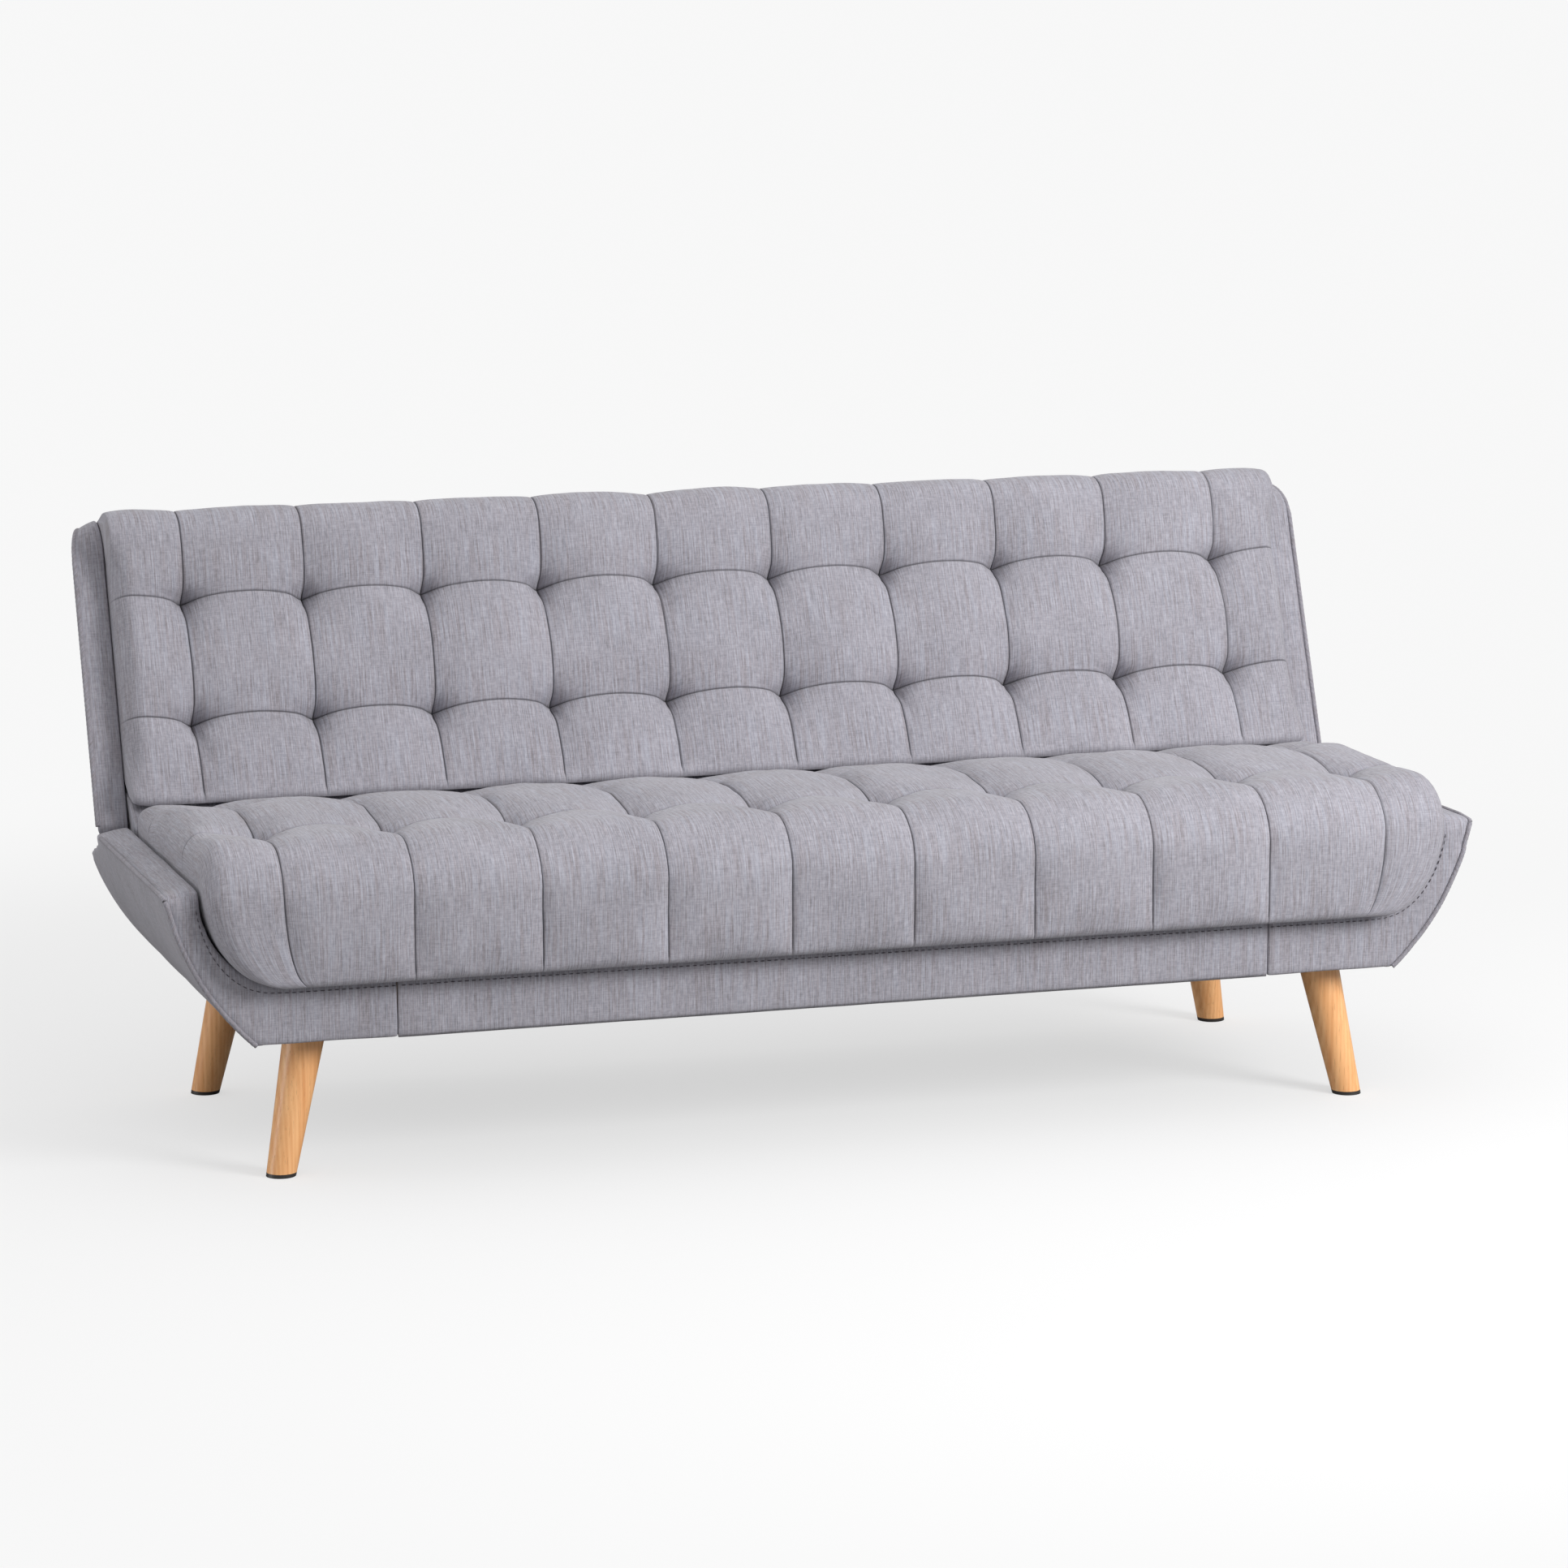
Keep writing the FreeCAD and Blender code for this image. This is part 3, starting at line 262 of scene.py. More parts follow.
floor_paint, tree, shader = fresh_material("floor_paint")
adjust(shader, Base_Color=(0.30, 0.30, 0.30, 1.0), Roughness=0.9, Specular_IOR_Level=0.0)
lift = add(tree, "ShaderNodeEmission", (eye_and_light(tree, FLOOR_LIFT, 0.0), "Strength"),
           Color=WHITE)
near = add(tree, "ShaderNodeAddShader", (shader.outputs[0], 0), (lift.outputs[0], 1))
far = add(tree, "ShaderNodeEmission", (eye_and_light(tree, PALE, FAR_FLOOR_LIGHT), "Strength"),
          Color=WHITE)
where = add(tree, "ShaderNodeTexCoord").outputs["Object"]
distance = add(tree, "ShaderNodeVectorMath", (where, 0), operation="LENGTH").outputs["Value"]
fade = add(tree, "ShaderNodeMapRange", (distance, 0), interpolation_type="SMOOTHSTEP",
           From_Min=FADE_STARTS, From_Max=FADE_ENDS)
paper = add(tree, "ShaderNodeMixShader", (fade.outputs[0], 0), (near.outputs[0], 1),
            (far.outputs[0], 2))
tree.links.new(paper.outputs[0], tree.nodes["Material Output"].inputs["Surface"])
floor.data.materials.append(floor_paint)
print("floor paint")

# %% [markdown]
# ## The upholstery cloth
# The cover is a grey linen-look cloth. Its warp threads vary in thickness and shade, so fine
# streaks run from front to back and top to bottom. Across them the weft is even. Both follow the
# cloth's own map, laid out in metres, so the streaks keep their real size on every piece. Along
# the seams an attribute that the sewn pieces carry darkens the colour. That dark line is partly
# the stitched seam itself and partly painted shade of the groove the seam pulls in.

# %% Cloth material


def cloth(name, shade, streak=1.0, weave=1.0):
    """A woven cloth. shade is its mean colour, streak and weave how strongly each shows."""
    material, tree, shader = fresh_material(name)
    lay = add(tree, "ShaderNodeTexCoord").outputs["UV"]
    slubs = stretched_noise(tree, lay, (1150.0, 34.0, 1.0), 3.0, 0.6)
    strands = stretched_noise(tree, lay, (520.0, 11.0, 1.0), 2.0, 0.5)
    picks = stretched_noise(tree, lay, (60.0, 760.0, 1.0), 2.0, 0.5)
    heather = stretched_noise(tree, lay, (240.0, 150.0, 1.0), 3.0, 0.6)
    drift = stretched_noise(tree, lay, (9.0, 6.0, 1.0), 2.0, 0.5)
    mixed = weighted(tree, (slubs, 0.42 * streak), (strands, 0.26 * streak), (picks, 0.16),
                     (heather, 0.2), (drift, 0.12))
    middle = (0.42 * streak + 0.26 * streak + 0.48) / 2
    level = spread(tree, mixed, middle - 0.12, middle + 0.12)
    colour = blend_colours(tree, level, scaled(shade, 0.50), scaled(shade, 1.46))
    warm = (shade[0] * 1.16, shade[1] * 1.00, shade[2] * 0.92, 1.0)
    cool = (shade[0] * 0.88, shade[1] * 0.99, shade[2] * 1.08, 1.0)
    tint = blend_colours(tree, spread(tree, strands, 0.38, 0.62), warm, cool)
    colour = blend_colours(tree, 0.22, colour, tint)
    # Painted shade: the seam attribute darkens the colour along each seam. This is partly the
    # stitched line and partly painted shade in the seam's groove.
    seam = add(tree, "ShaderNodeAttribute", attribute_name="seam").outputs["Fac"]
    colour = blend_colours(tree, seam, colour, scaled(shade, 0.20))
    tree.links.new(colour, shader.inputs["Base Color"])

    warp, weft = (add(tree, "ShaderNodeTexWave", (lay, "Vector"), wave_type="BANDS",
                      bands_direction=way, Scale=count, Distortion=0.6, Detail=1.0).outputs["Fac"]
                  for way, count in (("X", 330.0), ("Y", 290.0)))
    threads = maths(tree, "MAXIMUM", warp, weft)
    relief(tree, shader, weighted(tree, (threads, 0.5 * weave), (slubs, 0.9)), 0.35, 0.0006)
    roughness(tree, shader, slubs, 0.82, 0.98)
    adjust(shader, Sheen_Weight=0.18, Sheen_Roughness=0.45, Specular_IOR_Level=0.25)
    return material


UPHOLSTERY = cloth("upholstery_cloth", tone(155, 153, 161))
PIPING_CLOTH = cloth("piping_cloth", tone(143, 140, 147), 0.8, 1.4)
REAR_CLOTH = cloth("rear_cloth", tone(150, 146, 154), 0.9)
print("cloths", UPHOLSTERY.name, PIPING_CLOTH.name, REAR_CLOTH.name)

# %% [markdown]
# ## Sewing a quilted cushion
# The seat and the back are tufted: deep stitches pull the cloth down to the base in a grid, and
# seams run between them, so the wadding stands up in pillows. The form is a long sleeve. A flat
# grid is wrapped round the cushion's outline, its columns drawn close together at each seam, its
# ends rolled in, and then every point sinks by what the seams and tufts take away there.

# %% Outline helpers


def rounded_loop(corners, step=0.0005):
    """A closed outline through corners (a, b, radius), as close-set points."""
    spots = [Vector(c[:2]) for c in corners]
    points = []
    for i, here in enumerate(spots):
        before = (spots[i - 1] - here).normalized()
        after = (spots[(i + 1) % len(spots)] - here).normalized()
        radius = corners[i][2]
        half = before.angle(after) / 2
        reach = radius / math.tan(half)
        centre = here + (before + after).normalized() * (radius / math.sin(half))
        first, last = here + before * reach - centre, here + after * reach - centre
        turn = first.angle_signed(last)
        steps = max(2, int(abs(turn) * radius / step))
        for k in range(steps + 1):
            points.append(centre + Matrix.Rotation(-turn * k / steps, 2) @ first)
    dense = []
    for i, start in enumerate(points):
        end = points[(i + 1) % len(points)]
        count = max(1, int((end - start).length / step))
        dense += [start.lerp(end, k / count) for k in range(count)]
    return np.array([tuple(p) for p in dense])


def lengths_along(line):
    """How far each point of a path lies from its start."""
    steps = np.linalg.norm(np.diff(line, axis=0), axis=1)
    return np.concatenate([[0.0], np.cumsum(steps)])


def read_at(where, along, line):
    """The points of a path at given lengths."""
    return np.stack([np.interp(where, along, line[:, k]) for k in range(line.shape[1])], -1)


class Outline:
    """A closed outline measured along its own length, with its outward direction."""

    def __init__(self, corners):
        loop = rounded_loop(corners)
        self.points = np.vstack([loop, loop[:1]])
        self.along = lengths_along(self.points)
        self.length = self.along[-1]
        apart = 6
        tangent = np.roll(loop, -apart, 0) - np.roll(loop, apart, 0)
        tangent /= np.linalg.norm(tangent, axis=1)[:, None]
        outward = np.stack([-tangent[:, 1], tangent[:, 0]], 1)
        self.outward = np.vstack([outward, outward[:1]])

    def at(self, t):
        """The outline's point and its outward direction at a length."""
        t = np.mod(t, self.length)
        return read_at(t, self.along, self.points), read_at(t, self.along, self.outward)

    def nearest(self, a, b):
        """How far along the outline the point nearest to (a, b) is."""
        return self.along[np.argmin(((self.points - (a, b)) ** 2).sum(1))]


def eased(start, end, count, gather=0.8):
    """Places from start to end, closer together at both ends."""
    s = np.linspace(0.0, 1.0, count + 1)[:-1]
    return start + (end - start) * (s - gather * np.sin(2 * math.pi * s) / (2 * math.pi))


def stations(marks, counts, gathers):
    """Places through a row of marks, gathered where a seam runs."""
    runs = [eased(a, b, n, g) for a, b, n, g in zip(marks, marks[1:], counts, gathers)]
    return np.concatenate(runs + [[marks[-1]]])


# %% [markdown]
# The sleeve itself starts as Blender's own grid. Each of its points knows its column and row,
# so moving the points onto the cushion keeps the neat squares that cloth needs. The first and
# last rows meet underneath and are merged, the two open ends are closed, and the cloth's map is
# written down in metres.

# %% Sleeve maker


def sleeve(name, places, across, along, seam=None, closed=True):
    """A grid moved to places[i, j], with the cloth's map and its seams. closed joins it up."""
    columns, rows = places.shape[:2]
    bm = bmesh.new()
    bmesh.ops.create_grid(bm, x_segments=columns - 1, y_segments=rows - 1, size=1.0)
    bm.verts.ensure_lookup_table()
    spots = np.array([v.co for v in bm.verts])
    i = np.rint((spots[:, 0] + 1) / 2 * (columns - 1)).astype(int)
    j = np.rint((spots[:, 1] + 1) / 2 * (rows - 1)).astype(int)
    for vert, place in zip(bm.verts, places[i, j]):
        vert.co = place
    layer = bm.loops.layers.uv.new("UVMap")
    for face in bm.faces:
        for loop in face.loops:
            at = loop.vert.index
            loop[layer].uv = (across[i[at]], along[j[at]])
    if seam is not None:
        mark = bm.verts.layers.float.new("seam")
        for vert, amount in zip(bm.verts, seam[i, j]):
            vert[mark] = amount
    if closed:
        bmesh.ops.remove_doubles(bm, verts=bm.verts, dist=1e-6)
        rims = [edge for edge in bm.edges if edge.is_boundary]
        filled = bmesh.ops.holes_fill(bm, edges=rims, sides=0)["faces"]
        bmesh.ops.triangulate(bm, faces=filled)
        bmesh.ops.recalc_face_normals(bm, faces=bm.faces)
    for face in bm.faces:
        face.smooth = True
    return object_of(name, bm)


def dress(piece, body, nodes):
    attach(piece, body)
    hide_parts(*nodes)
    print(piece.name, "faces", len(piece.data.polygons))


def flipped(piece):
    """The same piece for the left side of the sofa."""
    mesh = piece.data.copy()
    mesh.transform(Matrix.Scale(-1, 4, (1, 0, 0)))
    mesh.flip_normals()
    mesh.name = piece.name.replace("right", "left")
    return linked(mesh.name, mesh)


def dress_both(right, body, node):
    """Adds the left-hand piece to a right-hand one, and dresses the two."""
    left = flipped(right)
    dress(right, body, ["right_" + node])
    dress(left, body, ["left_" + node])
    return left


# %% [markdown]
# What the needle takes away is worked out point by point. Long soft valleys follow the seams,
# a deeper hollow falls to each tuft, a narrow crease leads into it, and small puckers fan out
# from it where the gathered cloth has to go. Above a tuft the pillow hangs over it, so the
# hollow is short there and longer below.

# %% Tufting
HALF_BAY = 0.083
VALLEY_SHAPE = 2.3
SEAM_WIDTH, SEAM_DEPTH = 0.0008, 0.0016
CREASE_WIDTH = 0.0060
FADE = 0.02


def to_nearest(value, lines):
    """Signed distance to the nearest of some lines."""
    distance = value[..., None] - np.asarray(lines)
    nearest = np.abs(distance).argmin(-1)
    return np.take_along_axis(distance, nearest[..., None], -1)[..., 0]


class Tufting:
    """The seams and tufts of one cushion, in the cloth's own measures."""

    def __init__(self, columns, rows, start, end, depths, reaches, shares, row_seam, seed):
        self.columns, self.rows = np.asarray(columns), np.asarray(rows)
        self.start, self.end = start, end
        self.valley_up, self.valley_across, self.tuft = depths
        self.side_reach, self.above_reach, self.below_reach = reaches
        self.shares, self.row_seam = shares, row_seam
        self.random = np.random.default_rng(seed)
        self.phase = self.random.uniform(0, 2 * math.pi, (len(rows), len(columns)))
        self.bite = self.random.uniform(0.9, 1.1, (len(rows), len(columns)))

    def inside(self, t):
        """1 on the quilted part of the sleeve, fading to 0 at its ends."""
        return np.clip((t - self.start) / FADE, 0, 1) * np.clip((self.end - t) / FADE, 0, 1)

    def sink(self, a, t):
        """How deep each point is pulled in, and how dark its seam line is painted: partly the
        stitching, partly painted shade of the groove.
        """
        to_column, to_row = to_nearest(a, self.columns), to_nearest(t, self.rows)
        soft_column = np.clip(1 - np.abs(to_column) / HALF_BAY, 0, 1) ** VALLEY_SHAPE
        soft_row = np.clip(1 - np.abs(to_row) / HALF_BAY, 0, 1) ** VALLEY_SHAPE
        to_tufts = np.clip(1 - (np.abs(to_row) - 0.05) / 0.14, 0, 1)
        depth = self.valley_up * soft_column * (0.35 + 0.65 * to_tufts)
        depth = depth + self.valley_across * soft_row
        near_tuft = np.zeros_like(depth)
        for r, row in enumerate(self.rows):
            for c, column in enumerate(self.columns):
                dx, dt = a - column, t - row
                reach = np.where(dt > 0, self.above_reach, self.below_reach)
                rho = np.hypot(dx / self.side_reach, dt / reach)
                close = rho < 6
                angle = np.arctan2(dt / reach, dx / self.side_reach)
                hollow = 0.62 * np.exp(-rho ** 1.1) + 0.38 * np.exp(-(rho / 0.42) ** 2)
                arms = 1 + 0.22 * np.cos(4 * angle) * (1 - np.exp(-2.2 * rho))
                phase = self.phase[r, c]
                folds = np.sin(9 * angle + phase) + 0.6 * np.sin(14 * angle + 2 * phase)
                puckers = 0.0034 * folds * rho * np.exp(-2.2 * rho)
                pull = self.bite[r, c] * self.tuft * self.shares[r]
                depth += np.where(close, pull * hollow * arms + puckers * self.shares[r], 0)
                near_tuft = np.maximum(near_tuft, np.where(close, np.exp(-rho / 1.1), 0))
        crease = 0.0026 * near_tuft + 0.0010
        for off in (to_column, to_row):
            depth += crease * np.exp(-np.abs(off) / CREASE_WIDTH)
        row_width, row_depth = self.row_seam
        column_line = np.exp(-(to_column / SEAM_WIDTH) ** 2)
        row_line = np.exp(-(to_row / row_width) ** 2)
        depth += np.maximum(SEAM_DEPTH * column_line, row_depth * row_line)
        # This mask also sets the colour. It paints each seam dark, partly as the stitched line and
        # partly as painted shade of its groove. The rows' width sets how wide that painted shade
        # is.
        line = np.maximum(column_line, 0.85 * row_line)
        return depth * self.inside(t), line * self.inside(t)

    def bow(self, a, t, height):
        """How far a seam across the cushion rises between two tufts."""
        bay = np.abs(to_nearest(a, self.columns)) / HALF_BAY
        arch = 1 - (1 - np.clip(bay, 0, 1)) ** 2
        return height * arch * np.exp(-(to_nearest(t, self.rows) / 0.045) ** 2)


def drift_of_stuffing(places, size, amount, seed):
    """A slow unevenness, as wadding has, the same on every run."""
    shift = Vector((seed, 2.0 * seed, 3.0 * seed))
    flat = places.reshape(-1, 3) / size
    value = np.array([noise.noise(Vector(p) + shift) for p in flat])
    return amount * value.reshape(places.shape[:-1])


# %% [markdown]
# ## Ends of a cushion
# At each end the cloth rolls over the corner of the foam and dives to the seam of the next
# piece. The outline shrinks towards a line inside the cushion while its columns turn the corner.

# %% Column places with rolled ends
COLUMN_GATHER, END_GATHER = 0.93, 0.80
CAP_REACH = 0.04


def columns_with_ends(flat_marks, per_bay, end_x, roll, dip):
    """Where the columns stand: measured on the cloth, across the sofa, and how far they tuck in."""
    inner = end_x - roll
    gathers = [COLUMN_GATHER] * len(flat_marks) + [END_GATHER]
    half = stations([0.0] + list(flat_marks) + [inner], per_bay, gathers)
    turn = np.linspace(0, math.pi / 2, 13)[1:]
    cap = CAP_REACH * np.array([0.25, 0.5, 0.75, 1.0])
    length = (roll + dip) / 2
    cloth_x = np.concatenate([half, inner + length * turn, inner + length * math.pi / 2 + cap])
    place_x = np.concatenate([half, inner + roll * np.sin(turn), np.full(len(cap), end_x)])
    tuck = np.concatenate([np.zeros(len(half)), dip * (1 - np.cos(turn)), dip + cap])
    mirror = slice(None, 0, -1)
    return (np.concatenate([-cloth_x[mirror], cloth_x]),
            np.concatenate([-place_x[mirror], place_x]),
            np.concatenate([tuck[mirror], tuck]))


def tucked(place, tuck, spine):
    """The outline's points drawn in towards a line inside the cushion."""
    (a0, b0), (a1, b1) = spine
    share = np.clip(((place[..., 0] - a0) * (a1 - a0) + (place[..., 1] - b0) * (b1 - b0))
                    / ((a1 - a0) ** 2 + (b1 - b0) ** 2), 0, 1)
    foot = np.stack([a0 + (a1 - a0) * share, b0 + (b1 - b0) * share], -1)
    away = place - foot
    far = np.linalg.norm(away, axis=-1, keepdims=True)
    return foot + away * np.maximum(far - tuck[..., None], 0.12 * far) / far


# %% [markdown]
# ## Blowing the cushion up
# Wadding pushes the cloth out evenly, and sewing holds it. A cloth simulation with a little
# pressure shows what that does: the pillows fill and the cloth ripples beside the seams. It runs
# on a coarser copy of the sleeve, pinned where it is sewn, no point may move further than a cap,
# and what it finds is carried over to the fine sleeve.

# %% Simulated filling
LAST_FRAME = 20
PRESSURE = 4.0
COARSE_COLUMNS, COARSE_ROWS = 150, 110
HELD_ALONG_SEAM = 0.35


def swell(name, places, held, cap):
    """How each point of a sleeve moves when the cloth is inflated against its stitches."""
    columns, rows = places.shape[:2]
    probe = sleeve(name, places, np.arange(columns), np.arange(rows), seam=held, closed=False)
    bpy.context.view_layer.update()
    start = np.array([v.co for v in probe.data.vertices])
    weights = np.zeros(len(start), np.float32)
    probe.data.attributes["seam"].data.foreach_get("value", weights)
    pins = probe.vertex_groups.new(name="sewn")
    for at, weight in enumerate(weights):
        if weight > 0.02:
            pins.add([at], float(min(weight, 1.0)), "REPLACE")
    sim = probe.modifiers.new("filling", "CLOTH")
    adjust(sim.settings, quality=5, mass=0.25, tension_stiffness=30, compression_stiffness=30,
           shear_stiffness=12, bending_stiffness=0.35, use_pressure=True,
           uniform_pressure_force=PRESSURE, vertex_group_mass="sewn", shrink_min=-0.012)
    sim.settings.effector_weights.gravity = 0
    sim.collision_settings.use_collision = False
    sim.point_cache.frame_start, sim.point_cache.frame_end = 1, LAST_FRAME
    for step in range(1, LAST_FRAME + 1):
        bpy.context.scene.frame_set(step)
    result = probe.evaluated_get(bpy.context.evaluated_depsgraph_get()).to_mesh()
    end = np.array([v.co for v in result.vertices])
    bpy.context.scene.frame_set(1)
    moved = end - start
    far = np.linalg.norm(moved, axis=1, keepdims=True)
    moved *= np.minimum(1, cap / np.maximum(far, 1e-9))
    grid = np.zeros((columns, rows, 3))
    at = np.zeros((len(start), 2), int)
    uv = probe.data.uv_layers["UVMap"].data
    for loop in probe.data.loops:
        at[loop.vertex_index] = [round(v) for v in uv[loop.index].uv]
    grid[at[:, 0], at[:, 1]] = moved
    mesh = probe.data
    bpy.data.objects.remove(probe)
    bpy.data.meshes.remove(mesh)
    print(name, "moved", round(float(np.abs(grid).max()), 4), "mean", round(float(far.mean()), 4))
    return grid


def carried(grid, coarse, fine):
    """A coarse field of movements read at finer stations, smoothly."""
    (ca, ct), (fa, ft) = coarse, fine
    wide = np.stack([read_at(fa, ca, grid[:, j]) for j in range(len(ct))], 1)
    full = np.stack([read_at(ft, ct, wide[i]) for i in range(len(fa))])
    for _ in range(3):
        full[1:-1] = (full[:-2] + 2 * full[1:-1] + full[2:]) / 4
        full[:, 1:-1] = (full[:, :-2] + 2 * full[:, 1:-1] + full[:, 2:]) / 4
    return full


# %% [markdown]
# ## The seat cushion
# One long cushion, with ten columns of tufts in two rows. Its front rolls down to the band in
# eleven fat ribs. Its ends flare outwards as they rise, so the last rib narrows towards its foot.

# %% Seat outline and tufting
PITCH = 0.1668
TUFT_COLUMNS = (np.arange(10) - 4.5) * PITCH
LEAN = math.radians(21.0)
SEAT_FRONT, SEAT_REAR = -0.384, 0.0905
SEAT_FLOOR, SEAT_TOP = 0.261, 0.445
SEAT_END = 0.848
SEAT_ROLL, SEAT_DIP = 0.032, 0.036
SEAT_DROP_Y, SEAT_LOW = -0.060, 0.4215
SHOULDER, FLARE_FOOT, FLARE, FLARE_STARTS = 0.389, 0.750, 0.098, 0.70
SEAT_SPINE = ((-0.285, 0.325), (0.0, 0.325))
SEAT_ROWS = ((-0.222, SEAT_TOP), (0.004, 0.434))

seat_outline = Outline([
    (SEAT_FRONT, SEAT_FLOOR, 0.012),
    (SEAT_FRONT, SEAT_TOP, 0.075),
    (SEAT_DROP_Y, SEAT_TOP, 0.300),
    (SEAT_REAR, SEAT_LOW, 0.012),
    (SEAT_REAR, SEAT_FLOOR, 0.006),
])


def upright(x, place):
    """An outline that stands straight up in the room."""
    return np.stack([x, place[..., 0], place[..., 1]], -1)


def flare_half_width(z):
    """Half the seat's width at a height: it widens from its foot to its shoulder."""
    below = np.clip((SHOULDER - z) / (SHOULDER - SEAT_FLOOR), 0, 1)
    return FLARE_FOOT + FLARE * np.sqrt(1 - below ** 2)


def seat_place(x, place):
    """A point of the seat in the room, its last rib squeezed in by the flare."""
    room = flare_half_width(place[..., 1]) - FLARE_STARTS
    narrowed = FLARE_STARTS + (np.abs(x) - FLARE_STARTS) * room / (SEAT_END - FLARE_STARTS)
    return upright(np.where(np.abs(x) > FLARE_STARTS, np.sign(x) * narrowed, x), place)


def seat_shape(x, place, tuck):
    """The seat's ends roll in alike, only less behind, where they meet the backrest."""
    near_rear = np.clip(place[..., 0] / 0.08, 0, 1)
    return place, tuck * (1 - 0.45 * near_rear)


def back_shape(x, place, tuck):
    """At its ends the backrest's top drops to the side borders and hardly rolls in."""
    near_end = np.clip((np.abs(x) - 0.79) / 0.057, 0, 1)
    near_top = np.clip((place[..., 1] - 0.37) / 0.085, 0, 1)
    near_top = near_top * near_top * (3 - 2 * near_top)
    lower = place.copy()
    lower[..., 1] -= 0.001 * near_end ** 2 * near_top
    near_foot = np.clip((0.15 - place[..., 1]) / 0.06, 0, 1)
    return lower, tuck * (1 - 0.95 * near_top) * (1 - 0.80 * near_foot)


def leaned(x, way, y=0.0, z=0.0):
    """An outline's direction, or its point seen from (y, z), leaned back like the backrest."""
    sin, cos = math.sin(LEAN), math.cos(LEAN)
    return np.stack([x, y + way[..., 1] * sin + way[..., 0] * cos,
                     z + way[..., 1] * cos - way[..., 0] * sin], -1)


def back_place(x, place):
    """A point of the backrest in the room: its outline leans back from the pivot."""
    return leaned(x, place, PIVOT.y, PIVOT.z)


def quilted(name, outline, tufting, columns, rows, spine, put, arch, filling, seed, shaped):
    """A whole tufted cushion: wrapped, rolled, stitched, filled and closed."""

    def build(cloth_x, place_x, tuck, t):
        a, tt = np.meshgrid(cloth_x, t, indexing="ij")
        x = np.repeat(place_x[:, None], len(t), 1)
        tuck_grid = np.repeat(tuck[:, None], len(t), 1)
        shifted = tt + tufting.bow(a, tt, arch) * tufting.inside(tt)
        place, away = outline.at(shifted)
        depth, line = tufting.sink(a, tt)
        fading = np.clip(1 - tuck_grid / 0.065, 0, 1)
        place = place - away * (depth * fading)[..., None]
        place, tuck_grid = shaped(x, place, tuck_grid)
        place = tucked(place, tuck_grid, spine)
        return put(x, place), line * fading, away, a, tt

    fine_x, fine_place, fine_tuck = columns
    places, line, away, _, tt = build(fine_x, fine_place, fine_tuck, rows)
    lift = drift_of_stuffing(places, 0.085, 0.0022, seed)
    lift = lift + drift_of_stuffing(places, 0.03, 0.0008, seed + 9)
    still = np.zeros(away.shape[:2])
    push = leaned(still, away) if put is back_place else upright(still, away)
    places = places + push * ((lift - 0.0012) * tufting.inside(tt))[..., None]
    pick = np.linspace(0, len(fine_x) - 1, COARSE_COLUMNS).round().astype(int)
    t_coarse = np.linspace(0, outline.length, COARSE_ROWS)
    coarse, _, _, ca, ct = build(fine_x[pick], fine_place[pick], fine_tuck[pick], t_coarse)
    off_x, off_t = to_nearest(ca, tufting.columns), to_nearest(ct, tufting.rows)
    sewn = np.maximum(np.exp(-(off_x / 0.006) ** 2), np.exp(-(off_t / 0.006) ** 2))
    tuft_here = np.exp(-((off_x / 0.02) ** 2 + (off_t / 0.02) ** 2))
    rolled_in = np.clip(np.repeat(fine_tuck[pick][:, None], len(t_coarse), 1) / 0.03, 0, 1)
    pinned = np.maximum.reduce([HELD_ALONG_SEAM * sewn, tuft_here,
                                1 - tufting.inside(ct), rolled_in])
    grid = swell(name + "_filling", coarse, pinned, filling)
    places = places + carried(grid, (fine_x[pick], t_coarse), (fine_x, rows))
    # The seam attribute paints the seams dark, partly as stitched lines and partly as painted shade
    # of their grooves.
    made = sleeve(name, places, fine_x, rows, seam=line)
    made.data.materials.append(UPHOLSTERY)
    return made


seat_rows_t = [seat_outline.nearest(*row) for row in SEAT_ROWS]
seat_start = seat_outline.nearest(SEAT_FRONT + 0.012, SEAT_FLOOR)
seat_end = seat_outline.nearest(SEAT_REAR, SEAT_FLOOR + 0.090)
print("seat cloth", round(seat_outline.length, 3), "rows at", [round(t, 3) for t in seat_rows_t])

# %% Seat cushion
MARKS = TUFT_COLUMNS[5:]
PER_BAY = [13] + [26] * 4 + [11]
ROW_GATHERS = [0.85, 0.93, 0.85, 0.0]
seat_columns = columns_with_ends(MARKS, PER_BAY, SEAT_END, SEAT_ROLL, SEAT_DIP)
seat_tufting = Tufting(TUFT_COLUMNS, seat_rows_t, seat_start, seat_end,
                       depths=(0.0080, 0.0020, 0.0250), reaches=(0.032, 0.030, 0.032),
                       shares=(1.0, 0.75), row_seam=(0.0018, 0.0034), seed=5)
seat_lines = stations([seat_start, *seat_rows_t, seat_end, seat_start + seat_outline.length],
                      [44, 34, 24, 22], ROW_GATHERS)
seat_cushion = quilted("seat_cushion_cover", seat_outline, seat_tufting, seat_columns, seat_lines,
                       SEAT_SPINE, seat_place, arch=0.0, filling=0.006, seed=3, shaped=seat_shape)
dress(seat_cushion, "seat", ["seat_cushion", "seat_foam"])

# %% [markdown]
# ## The back cushion
# The same quilting stands up against the backrest: ten columns, two rows, and the seams run on
# over the top. Here the pillows hang over their tufts a little, and every seam across rises
# between two tufts.

# %% Back cushion
FACE, SHELF, LIP = -0.138, -0.058, 0.0045
BACK_FOOT, BACK_TOP, LIP_FOOT = 0.070, 0.492, 0.476
BACK_END, BACK_ROLL, BACK_DIP = 0.8468, 0.027, 0.056
BACK_SPINE = ((-0.064, 0.150), (-0.064, 0.425))
BACK_ROWS_U = (0.190, 0.357)
SCOOP = 0.1329

